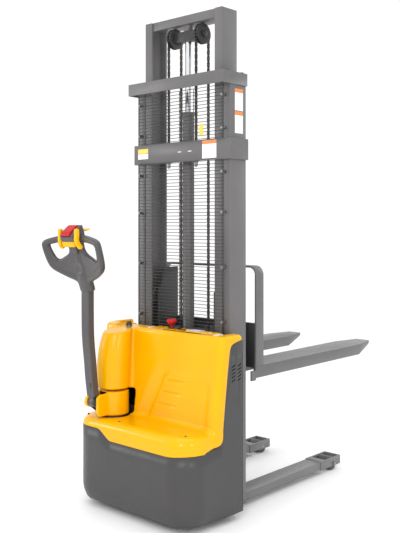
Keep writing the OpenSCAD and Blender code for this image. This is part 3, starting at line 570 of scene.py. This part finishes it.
def hood_form(p):
    x, y, z = p[..., 0], p[..., 1], p[..., 2]
    plan = round_plan(x, y, (-HALF_W, REAR_Y), (HALF_W, 0.6), CORNER_R)
    deck = cut_round(plan, z - DECK_Z, 0.045)
    # the wall steps back towards its lower right, where a panel carries three louvre ribs
    ramp_x = -0.159 + 0.38 * (z - 0.416)
    panel_x = -0.070 + 0.42 * (z - 0.431)
    low = 1 - smoothstep(z, 0.60, 0.78)
    step = 0.016 * smoothstep(x, ramp_x, panel_x - 0.012) * low * (1 - smoothstep(x, 0.30, 0.375))
    corner = cut_round(panel_x - x, z - 0.690, 0.035)
    panel = 0.006 * (1 - smoothstep(corner, -0.009, 0.0))
    panel = panel * (1 - smoothstep(x, 0.10, 0.30) * smoothstep(z, 0.55, 0.69))
    ribs = sum(np.exp(-((z - height) / LOUVRE_HALF) ** 2) for height in LOUVRE_Z)
    ribs = ribs * smoothstep(x, panel_x + 0.020, panel_x + 0.035)
    ribs = ribs * (1 - smoothstep(x, panel_x + 0.135, panel_x + 0.160))
    lean = (wall_y(z) + step - panel + 0.0040 * ribs - y) * 0.99
    wall = cut_round(cut_round(lean, np.abs(x) - HALF_W, 0.030), z - HOOD_Z, 0.020)
    body = join_round(deck, wall, 0.022)
    # column over the tiller hub, with the hood's left shoulder behind it
    t = np.clip((z - NOSE_FLOOR) / (HOOD_Z - NOSE_FLOOR), -0.2, 1.2)
    bulge = np.maximum(t, 0) ** 3
    centre_x = STEER.x - 0.008 + 0.010 * bulge
    centre_y = STEER.y + 0.006 + 0.025 * bulge
    radius = 0.087 - 0.018 * bulge
    nose = (np.hypot(x - centre_x, y - centre_y) - radius) * 0.97
    nose = cut_round(nose, z - 0.869 - 0.15 * (y - STEER.y + 0.038), 0.008)
    shoulder_y = wall_y(z) - 0.036 - 0.010 * (1 - t)
    shoulder = cut_round(cut_round(shoulder_y - y, -HALF_W - x, 0.030), x - STEER.x + 0.035, 0.020)
    shoulder = cut_round(shoulder, z - HOOD_Z - 0.010, 0.012)
    column = cut_round(join_round(nose, shoulder, 0.030), NOSE_FLOOR - z, 0.008)
    body = join_round(body, column, 0.030)
    body = cut_round(body, y - EAR_Y, 0.012)
    floor = HOOD_Z - TRAY_DEPTH
    tray = box_at(p, (-HALF_W + 0.030, wall_y(HOOD_Z) + 0.018, floor), (HALF_W - 0.060, 0.1, 1.2), 0.012)
    dish = box_at(p, (STEER.x - 0.075, STEER.y + 0.055, floor), (STEER.x + 0.055, -0.1, 1.2), 0.030)
    body = cut_round(body, -join_round(tray, dish, 0.01), 0.004)
    hub = np.hypot(x - STEER.x, y - STEER.y) - 0.088
    hub = cut(hub, z - NOSE_FLOOR + 0.004)
    recess = box_at(p, (STEER.x, STEER.y - 0.06, DECK_Z + 0.002), (RECESS_X, 0.0, NOSE_FLOOR - 0.003), 0.020)
    return cut_round(body, -join(hub, recess), 0.003)


def hood_keep(p):
    """Leaves out what the casing covers, the open front, and the deep sides of the recess round the hub."""
    x, y, z = p[..., 0], p[..., 1], p[..., 2]
    ears = -box_at(points(np.abs(x), y, z), (EAR_X, -0.2, 0.80), (0.5, 0.2, 1.2), 0.001)
    front = np.maximum(HOOD_FRONT - y, ears)
    low, high = (STEER.x - 0.098, STEER.y - 0.11, DECK_Z - 0.014), (RECESS_X + 0.01, 0.1, NOSE_FLOOR - 0.002)
    recess = cut(box_at(p, low, high, 0.001), wall_y(z) + 0.014 - y)
    well = cut(np.hypot(x - STEER.x, y - STEER.y) - 0.098, z - DECK_Z + 0.010)
    return np.minimum(np.minimum(above_seam(p), front), np.minimum(recess, well))


hood = shell_from("hood_shell", hood_form, hood_keep, (-0.42, -0.46, 0.335), (0.42, 0.0, 0.925), 0.005, 0.004)
dress(hood, M["hood_yellow"], "chassis", ["hood"])


# ---------- casing ----------

SKIRT_TURN = 0.075
SKIRT_IN = 0.021
VENT_SLANT = 0.35


def casing_columns():
    """Plan points of the casing's outer face with the height of its top edge, right front to left front."""
    columns = []
    gap = 0.0015
    flat = HALF_W - CORNER_R
    right = [(HALF_W, y, z - gap) for y, z in reversed(SEAM[1])]
    left = [(-HALF_W, y, z - gap) for y, z in SEAM[-1]]
    right[0] = (HALF_W, HULL_HIGH.y, right[0][2])
    left[-1] = (-HALF_W, HULL_HIGH.y, left[-1][2])
    columns += right
    for s, turn in ((1, range(1, 16)), (-1, range(15, 0, -1))):
        if s == -1:
            columns += [(x, REAR_Y, float(seam_rear(np.array(x))) - gap)
                        for x in np.linspace(flat, -flat, 90)]
        for i in turn:
            a = i / 16 * math.pi / 2
            x = s * (flat + CORNER_R * math.cos(a))
            y = REAR_Y + CORNER_R - CORNER_R * math.sin(a)
            columns.append((x, y, float(seam_rear(np.array(x))) - gap))
    columns += left
    return columns


def bake(obj):
    """Applies an object's modifiers to its mesh."""
    made = bpy.data.meshes.new_from_object(obj.evaluated_get(bpy.context.evaluated_depsgraph_get()))
    obj.modifiers.clear()
    obj.data = made


def add_vent_cutter():
    """Slanted slots with round ends through both sides, near the front edge."""
    half, r = 0.0115, 0.0028
    along = Vector((0, math.cos(VENT_SLANT), math.sin(VENT_SLANT)))
    up = Vector((0, -along.z, along.y))
    slots = Builder()
    for s, row, col in itertools.product((-1, 1), range(5), (0, 1)):
        centre = Vector((s * HALF_W, HULL_HIGH.y - 0.070 + col * 0.044, HOOD_Z - 0.212 + row * 0.017))
        ring = []
        for side, start in ((1, -math.pi / 2), (-1, math.pi / 2)):
            for i in range(7):
                a = start + i * math.pi / 6
                ring.append(centre + along * (side * half + r * math.cos(a)) + up * r * math.sin(a))
        slots.rings([[v + Vector((d, 0, 0)) for v in ring] for d in (-0.02, 0.02)])
    return slots.make("vent_cutter")


def add_casing():
    columns = casing_columns()
    rows = 14
    verts = []
    for x, y, top in columns:
        fade = 1 - float(smoothstep(np.array(y), REAR_Y + CORNER_R, HULL_HIGH.y - 0.05))
        heights = [HULL_LOW.z + SKIRT_TURN * k / 10 for k in range(10)]
        heights += [HULL_LOW.z + SKIRT_TURN + (top - HULL_LOW.z - SKIRT_TURN) * k / 4 for k in range(5)]
        for z in heights:
            draw = SKIRT_IN * fade * max(0.0, 1 - (z - HULL_LOW.z) / SKIRT_TURN) ** 2
            cx = max(-HALF_W + CORNER_R, min(HALF_W - CORNER_R, x))
            cy = max(REAR_Y + CORNER_R, y)
            out = Vector((x - cx, y - cy, 0)).normalized()
            verts.append((x - out.x * draw, y - out.y * draw, z))
    n = rows + 1
    faces = [(i * n + k, i * n + k + 1, (i + 1) * n + k + 1, (i + 1) * n + k)
             for i in range(len(columns) - 1) for k in range(rows)]
    obj = add_mesh("casing_wrap", verts, faces)
    bm = bmesh.new()
    bm.from_mesh(obj.data)
    bmesh.ops.recalc_face_normals(bm, faces=bm.faces)
    middle = max(bm.faces, key=lambda f: -f.calc_center_median().y)
    if middle.normal.y > 0:
        bmesh.ops.reverse_faces(bm, faces=bm.faces)
    bm.to_mesh(obj.data)
    bm.free()
    wall = obj.modifiers.new("wall", "SOLIDIFY")
    wall.thickness = 0.004
    wall.offset = -1
    cutter = add_vent_cutter()
    drill = obj.modifiers.new("vents", "BOOLEAN")
    drill.operation = "DIFFERENCE"
    drill.object = cutter
    bake(obj)
    bpy.data.objects.remove(cutter)
    returns = Builder()
    for s in (-1, 1):
        x0, x1 = sorted((s * (MAST_HIGH.x + 0.003), s * HALF_W))
        returns.block((x0, HULL_HIGH.y - 0.004, HULL_LOW.z), (x1, HULL_HIGH.y, HOOD_Z - 0.032))
    dress(soften(returns.make("casing_front_returns", False), 0.001), M["body_grey"], "chassis")
    return obj


dress(add_casing(), M["body_grey"], "chassis", ["casing"])


# ---------- drive head and tiller ----------

def turret_form(p):
    x, y, z = p[..., 0] - STEER.x, p[..., 1], p[..., 2]
    q = points(x, y, z)
    foot, lobe_y = DECK_Z + 0.003, PIN.y - 0.014
    height = np.abs(z - (foot + HUB_TOP) / 2) - (HUB_TOP - foot) / 2
    drum = cut_round(np.hypot(x, y - STEER.y) - 0.080, height, 0.010)
    left = cut_round(np.hypot(y - PIN.y, z - PIN.z) - 0.028, np.abs(x + 0.037) - 0.009, 0.005)
    right = box_at(q, (0.028, lobe_y, 0.459), (0.046, STEER.y, HUB_TOP - 0.004), 0.005)
    right = cut_round(right, round_plan(y, z, (lobe_y, 0.459), (STEER.y, HUB_TOP - 0.004), 0.030), 0.005)
    arm = box_at(q, (-0.046, PIN.y, PIN.z - 0.026), (-0.028, STEER.y, HUB_TOP - 0.018), 0.006)
    form = join_round(drum, join_round(left, arm, 0.012), 0.012)
    form = join_round(form, right, 0.014)
    notch = box_at(p, (STEER.x - 0.027, PIN.y - 0.08, 0.3), (STEER.x + 0.027, STEER.y - 0.062, 0.7), 0.004)
    bore = cut(np.hypot(x, y - STEER.y) - 0.070, z - HUB_TOP + 0.006)
    return cut_round(form, -join(notch, bore), 0.002)


turret = solid_from("turret_shell", turret_form, (STEER.x - 0.10, PIN.y - 0.05, 0.44),
                    (STEER.x + 0.10, STEER.y + 0.10, 0.59), 0.003)
dress(turret, M["hood_yellow"], "drive_unit", ["turret_cover"])

ARM_LEAN = math.radians(2.5)
ARM_L = 0.581
HEAD_LEAN = math.radians(18)
HEAD = Vector((STEER.x, PIN.y - ARM_L * math.sin(ARM_LEAN) - 0.014,
               PIN.z + (ARM_L - 0.012) * math.cos(ARM_LEAN)))


def into(p, origin, lean):
    """Points in the own frame of something that leans back about X."""
    x, y, z = p[..., 0] - origin[0], p[..., 1] - origin[1], p[..., 2] - origin[2]
    c, s = math.cos(lean), math.sin(lean)
    return x, y * c + z * s, z * c - y * s


def out_of(x, y, z, origin=HEAD, lean=HEAD_LEAN):
    c, s = math.cos(lean), math.sin(lean)
    return Vector((origin[0] + x, origin[1] + y * c - z * s, origin[2] + y * s + z * c))


ARM_FRONT = [(0.014, 0.032), (0.007, 0.120), (0.002, 0.217), (-0.004, 0.310), (-0.004, 0.403), (0.003, ARM_L)]
ARM_BACK = [(-0.034, ARM_L), (-0.041, 0.403), (-0.041, 0.310), (-0.035, 0.217), (-0.030, 0.120),
            (-0.022, 0.032)]
ARM_SIDE = curve_through(ARM_FRONT, 6) + curve_through(ARM_BACK, 6)


def arm_form(p):
    x, y, z = into(p, PIN, ARM_LEAN)
    bar = cut_round(outline(y, z, ARM_SIDE), np.abs(x) - 0.028, 0.0035)
    boss = cut_round(np.hypot(y, z) - 0.024, np.abs(x) - 0.016, 0.002)
    neck = box_at(points(x, y, z), (-0.0155, -0.018, 0.005), (0.0155, 0.012, 0.045), 0.003)
    form = join_round(bar, join(boss, neck), 0.004)
    slot = box_at(points(x, y, z), (0.008, -0.06, 0.070), (0.015, -0.022, 0.102), 0.0025)
    return cut_round(cut_round(form, -slot, 0.001), 0.012 - np.hypot(y, z), 0.001)


arm = solid_from("tiller_bar", arm_form, (STEER.x - 0.04, PIN.y - 0.09, PIN.z - 0.04),
                 (STEER.x + 0.04, PIN.y + 0.05, PIN.z + 0.57), 0.003)
dress(arm, M["handle_grey"], "tiller", ["tiller_arm"])

HALF_HANDLE = 0.217
RIGHT_EDGE = [(0.038, -0.004), (0.041, 0.026), (0.055, 0.044), (0.095, 0.060), (0.135, 0.079), (0.173, 0.101),
              (0.197, 0.124), (0.209, 0.155), (0.215, 0.195), (0.217, 0.236), (0.212, 0.258), (0.193, 0.271),
              (0.144, 0.279), (0.084, 0.285), (0.040, 0.287)]
HANDLE = curve_through(RIGHT_EDGE, 3) + [(-x, z) for x, z in reversed(curve_through(RIGHT_EDGE, 3))]
WINDOW_EDGE = [(0.054, 0.216), (0.068, 0.192), (0.102, 0.175), (0.135, 0.163), (0.157, 0.168), (0.170, 0.192),
               (0.180, 0.226), (0.177, 0.240), (0.159, 0.245), (0.095, 0.251), (0.062, 0.250)]
WINDOW = curve_through(WINDOW_EDGE, 4, closed=True)


def head_form(p):
    x, y, z = into(p, HEAD, HEAD_LEAN)
    sweep = 0.038 * np.clip(np.abs(x) / HALF_HANDLE, 0, 1.2) ** 2
    yy = y + sweep
    edge = outline(x, z, HANDLE)
    flat = cut(edge, -outline(np.abs(x), z, WINDOW))
    # the web between the grips is a shallow shell, thinner than the tubes round it
    thick = 0.0185 - 0.004 * smoothstep(-edge, 0.018, 0.040)
    sheet = cut_round(flat, np.abs(yy) - thick, 0.0150)
    spine = capsule(points(x, y * 0.95, z), (0, 0, -0.02), (0, 0, 0.215), 0.037, 0.022)
    spine = cut_round(cut_round(spine, np.abs(y) - 0.026, 0.012), -z - 0.004, 0.004)
    form = join_round(sheet, spine, 0.016)
    oval = np.sqrt(((x + 0.004) / 0.042) ** 2 + ((y + 0.030) / 0.013) ** 2 + ((z - 0.122) / 0.034) ** 2) - 1
    form = cut_round(form, -oval * 0.012, 0.0015)
    groove = capsule(points(np.abs(x), y, z), (0.040, -0.026, 0.190), (0.060, -0.022, 0.105), 0.0045)
    form = cut_round(form, -groove, 0.002)
    ax, ay, az = into(p, PIN, ARM_LEAN)
    socket = cut(outline(ay, az, ARM_SIDE), np.abs(ax) - 0.0282)
    return cut(form, -socket)


head = solid_from("tiller_handle", head_form, (HEAD.x - 0.23, HEAD.y - 0.16, HEAD.z - 0.03),
                  (HEAD.x + 0.23, HEAD.y + 0.05, HEAD.z + 0.30), 0.003)
dress(head, M["handle_grey"], "tiller", ["tiller_head"])

POD_EDGE = [(-0.030, 0.238), (0.026, 0.238), (0.031, 0.262), (0.031, 0.318), (0.026, 0.329), (0.004, 0.327),
            (-0.044, 0.304), (-0.050, 0.292), (-0.045, 0.264)]
POD_SIDE = curve_through(POD_EDGE, 4, closed=True)
SEAT_SIDE = [(-0.060, 0.2866), (0.0205, 0.3160), (0.0205, 0.35), (-0.060, 0.35)]
BUTTON_SIDE = [(-0.054, 0.296), (0.017, 0.323), (0.017, 0.332), (0.004, 0.334), (-0.042, 0.316),
               (-0.054, 0.306)]


def head_box(p, low, high, r):
    """Block set square in the handle's frame."""
    return box_at(np.stack(into(p, HEAD, HEAD_LEAN), -1), low, high, r)


def pod_form(p):
    x, y, z = into(p, HEAD, HEAD_LEAN)
    narrow = 0.050 - 0.008 * (1 - smoothstep(z, 0.238, 0.285))
    pod = cut_round(outline(y, z, POD_SIDE), np.abs(x) - narrow, 0.009)
    collar = head_box(p, (-0.027, -0.030, 0.196), (0.027, 0.026, 0.246), 0.007)
    form = join_round(pod, collar, 0.004)
    # the button's seat leaves room for its stroke
    seat = cut(outline(y, z, SEAT_SIDE), np.abs(x) - 0.0342)
    shaft = np.hypot(y + 0.034, z - 0.272) - 0.0052
    rocker = cut(np.hypot(y - 0.030, z - 0.294) - 0.0085, np.abs(x) - 0.0225)
    mouth = head_box(p, (-0.0225, 0.030, 0.288), (0.0225, 0.060, 0.304), 0.001)
    return cut_round(form, -join(join(seat, shaft), join(rocker, mouth)), 0.001)


def head_piece(name, form, low, high, step, material, body, replaces=()):
    """A piece laid out in the handle's frame between two corners (x, y, z)."""
    corners = [out_of(*corner) for corner in itertools.product(*zip(low, high))]
    lo = [min(c[i] for c in corners) - 0.004 for i in range(3)]
    hi = [max(c[i] for c in corners) + 0.004 for i in range(3)]
    return dress(solid_from(name, form, lo, hi, step), M[material], body, replaces)


head_piece("pod_shell", pod_form, (-0.052, -0.052, 0.19), (0.052, 0.034, 0.335), 0.0022,
           "handle_grey", "tiller", ["control_pod"])


def button_form(p):
    x, y, z = into(p, HEAD, HEAD_LEAN)
    return cut_round(outline(y, z, BUTTON_SIDE), np.abs(x) - 0.033, 0.003)


head_piece("reverse_button", button_form, (-0.04, -0.056, 0.294), (0.04, 0.02, 0.34), 0.002,
           "red_plastic", "belly_button", ["belly_button"])


def band_form(p):
    outer = head_box(p, (-0.0465, -0.050, 0.238), (0.0465, 0.006, 0.266), 0.007)
    inner = head_box(p, (-0.0400, -0.038, 0.1), (0.0400, 0.06, 0.4), 0.004)
    return cut_round(outer, -inner, 0.001)


head_piece("pod_band", band_form, (-0.048, -0.052, 0.236), (0.048, 0.008, 0.268), 0.0018,
           "lever_yellow", "tiller")

WING = curve_through([(-0.026, 0.316), (-0.032, 0.296), (-0.040, 0.272), (-0.040, 0.254), (-0.034, 0.236)], 5)


def wing_form(p):
    x, y, z = into(p, HEAD, HEAD_LEAN)
    far = np.full(x.shape, 1e9)
    q = points(np.zeros(x.shape), y, z)
    for a, b in zip(WING, WING[1:]):
        far = np.minimum(far, capsule(q, (0, *a), (0, *b), 0.0105))
    flare = 0.006 * smoothstep(-z, -0.272, -0.236)
    wings = cut_round(far, np.abs(np.abs(x) - 0.0625 - flare) - 0.0100, 0.004)
    shaft = cut(np.hypot(y + 0.034, z - 0.272) - 0.005, np.abs(x) - 0.056)
    return join_round(wings, shaft, 0.002)


head_piece("speed_butterfly", wing_form, (-0.080, -0.052, 0.22), (0.080, -0.012, 0.328), 0.002,
           "lever_yellow", "butterfly", ["butterfly"])


# ---------- wire guard ----------

def add_wires():
    low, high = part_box("guard_mesh")
    y = low.y + 0.0015
    wire = 0.0017
    panels = ((low.z, BAND_LOW.z - 0.002), (BAND_HIGH.z + 0.002, high.z))
    wires = Builder()
    for z0, z1 in panels:
        rows = int((z1 - z0) / 0.017)
        for k in range(rows + 1):
            z = z0 + wire + (z1 - z0 - 2 * wire) * k / rows
            wires.rod((low.x, y, z), (high.x, y, z), wire, 6)
        for k in range(7):
            x = low.x + wire + (high.x - low.x - 2 * wire) * k / 6
            wires.rod((x, y + 0.0025, z0), (x, y + 0.0025, z1), wire, 6)
    return wires.make("guard_wires")


dress(add_wires(), M["wire"], "chassis", ["guard_mesh"])


# ---------- lift chains ----------

LINK_PITCH = 0.0159
CHAIN_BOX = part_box("chain_rear")
CHAIN_W = 0.015
PULLEY_Z = CHAIN_BOX[1].z
CHAIN_R = abs((CHAIN_BOX[0].y + CHAIN_BOX[1].y) / 2)
CHAIN_CENTRE = CHAIN_BOX[1].x - CHAIN_W / 2


def add_link(chain, a, b, x, wide):
    """Two side plates from joint a to joint b, with a roller and pin at both joints of a wide link; a and b
    are (y, z).
    """
    a, b = Vector(a), Vector(b)
    along = (b - a).normalized()
    across = Vector((-along.y, along.x))
    half = 0.0050
    plate = []
    for centre, start in ((b, -math.pi / 2), (a, math.pi / 2)):
        for i in range(5):
            angle = start + i * math.pi / 4
            plate.append(centre + along * half * math.cos(angle) + across * half * math.sin(angle))
    for s in (-1, 1):
        offset = x + s * (0.0052 if wide else 0.0034)
        chain.prism([tuple(v) for v in plate], lambda u, v, d: Vector((offset + d, u, v)), 0.0014)
    if wide:
        for joint in (a, b):
            chain.rod((x - 0.0075, *joint), (x + 0.0075, *joint), 0.0022, 8)
            chain.rod((x - 0.0026, *joint), (x + 0.0026, *joint), 0.0042, 10)


def strand(name, joints):
    """A pair of chains along a row of joints (y, z)."""
    chain = Builder()
    for s in (-1, 1):
        for k in range(len(joints) - 1):
            add_link(chain, joints[k], joints[k + 1], s * CHAIN_CENTRE, k % 2 == 0)
    return chain.make(name, False)


def straight(y, z0, z1):
    count = 2 * round((z1 - z0) / LINK_PITCH / 2)
    return [(y, z0 + (z1 - z0) * k / count) for k in range(count + 1)]


rear = strand("lift_chain_rear", straight(-CHAIN_R, CHAIN_BOX[0].z + 0.004, PULLEY_Z))
rear.data.materials.append(M["chain"])
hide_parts("chain_rear")
front = strand("lift_chain_front", straight(CHAIN_R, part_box("chain_front")[0].z + 0.004, PULLEY_Z))
front.data.materials.append(M["chain"])
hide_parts("chain_front")
turns = 8
angles = [math.pi * k / turns for k in range(turns + 1)]
over = strand("lift_chain_over_pulley", [(-CHAIN_R * math.cos(a), PULLEY_Z + CHAIN_R * math.sin(a))
                                         for a in angles])
dress(over, M["chain"], "inner_mast", ["chain_wraps"])


# ---------- labels, caps and screws ----------

def plates(name, material, boxes, body="chassis"):
    """Thin blank plates and labels between pairs of corners."""
    b = Builder()
    for low, high in boxes:
        b.block(low, high)
    dress(soften(b.make(name, False), 0.0003), M[material], body)


BAND_Y = BAND_LOW.y
SIDE_X = MAST_HIGH.x
SIDE_LABEL_Z = (1.872, 1.984)
plates("band_labels", "label",
       [((x0, BAND_Y - LABEL_RAISE, z0), (x1, BAND_Y, z1))
        for x0, x1, z0, z1 in ((0.158, 0.252, 1.752, 1.824), (-0.309, -0.232, 1.772, 1.800),
                               (-0.012, 0.012, 1.793, 1.797), (0.060, 0.084, 1.793, 1.797))])
plates("band_label_heads", "label_orange",
       [((0.158, BAND_Y - LABEL_RAISE, 1.826), (0.252, BAND_Y, 1.842))])
plates("band_label_left", "label_yellow",
       [((-0.309, BAND_Y - LABEL_RAISE, 1.802), (-0.232, BAND_Y, 1.826))])
plates("mast_side_labels", "label",
       [((SIDE_X, -0.018, z), (SIDE_X + LABEL_RAISE, 0.044, z + 0.090)) for z in SIDE_LABEL_Z])
plates("mast_side_heads", "label_orange",
       [((SIDE_X, -0.018, z + 0.092), (SIDE_X + LABEL_RAISE, 0.044, z + 0.108)) for z in SIDE_LABEL_Z])
plates("guard_tag", "label_yellow",
       [((0.146, MAST_LOW.y - 0.026, 1.868), (0.170, MAST_LOW.y - 0.024, 1.925))])

TRAY_Z = HOOD_Z - TRAY_DEPTH
tray_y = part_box("estop_collar")[0].y + 0.019
plates("tray_labels", "label",
       [((-0.150, tray_y - 0.026, TRAY_Z), (-0.035, tray_y + 0.016, TRAY_Z + 0.0065)),
        ((0.225, tray_y - 0.020, TRAY_Z), (0.325, tray_y + 0.022, TRAY_Z + 0.0062))])
plates("tray_switches", "black_plastic",
       [((0.044, tray_y - 0.014, TRAY_Z), (0.056, tray_y + 0.014, TRAY_Z + 0.018)),
        ((0.066, tray_y - 0.024, TRAY_Z), (0.112, tray_y + 0.012, TRAY_Z + 0.009))])

SCREW = [(0.0, 0.0), (0.0055, 0.0), (0.0055, 0.0052), (0.004, 0.0065), (0.0, 0.0065)]
CAP = [(0.0, 0.0), (0.013, 0.0), (0.013, 0.004), (0.010, 0.007), (0.0, 0.007)]
UP = (0, 0, 1)
screws = Builder()
for x, y in ((-0.345, REAR_Y + 0.060), (-0.100, REAR_Y + 0.050), (0.330, REAR_Y + 0.070)):
    screws.lathe((x, y, DECK_Z - 0.004), UP, SCREW, 16)
dress(screws.make("deck_screws"), M["black_plastic"], "chassis")
caps = Builder()
for y in (TOP_BAND_LOW.y + 0.050, TOP_BAND_HIGH.y - 0.022):
    caps.lathe((TOP_BAND_HIGH.x - 0.022, y, TOP_BAND_HIGH.z), UP, CAP, 20)
dress(caps.make("band_caps"), M["black_plastic"], "chassis")


# ---------- stage, light and camera ----------

def add_stage():
    floor = Builder()
    size = 14.0
    floor.add([(-size, -size, 0), (size, -size, 0), (size, size, 0), (-size, size, 0)], [(0, 1, 2, 3)])
    obj = floor.make("studio_floor", False)
    n = Nodes("studio_floor")
    pale = n.mix(n.noise(0.6, 2), (0.93, 0.93, 0.93, 1), (0.96, 0.96, 0.96, 1))
    obj.data.materials.append(n.set(Base_Color=pale, Roughness=0.7))


def add_light(name, place, target, size, power):
    data = bpy.data.lights.new(name, "AREA")
    data.shape = "RECTANGLE"
    data.size, data.size_y = size
    data.energy = power
    obj = bpy.data.objects.new(name, data)
    obj.location = place
    obj.rotation_euler = (Vector(target) - Vector(place)).to_track_quat("-Z", "Y").to_euler()
    bpy.context.scene.collection.objects.link(obj)


add_stage()
add_light("key", (2.1, -3.9, 2.5), (0, -0.2, 0.9), (1.0, 1.6), 46)
add_light("strip_left", (-3.2, -2.7, 1.9), (-0.2, -0.3, 0.6), (0.30, 1.5), 24)
add_light("strip_right", (3.9, -1.5, 1.8), (0, -0.2, 0.8), (0.30, 1.8), 22)
add_light("top", (0.2, -0.4, 4.6), (0, 0, 0.6), (3.0, 3.0), 40)
add_light("front", (0.6, 3.6, 2.4), (0, 0.3, 1.0), (2.0, 2.0), 18)

world = bpy.data.worlds.new("studio")
world.use_nodes = True
world.node_tree.nodes["Background"].inputs[0].default_value = (1, 1, 1, 1)
world.node_tree.nodes["Background"].inputs[1].default_value = 1.08
bpy.context.scene.world = world
bpy.context.scene.view_settings.view_transform = "Standard"

camera = bpy.data.objects.new("camera", bpy.data.cameras.new("camera"))
camera.location = (2.817, -3.011, 1.4221)
camera.rotation_euler = (math.pi / 2, 0, math.radians(42.26))
camera.data.lens = 53.42
camera.data.sensor_width = 36
camera.data.shift_y = -0.079
bpy.context.scene.collection.objects.link(camera)
bpy.context.scene.camera = camera

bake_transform(rear)
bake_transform(front)
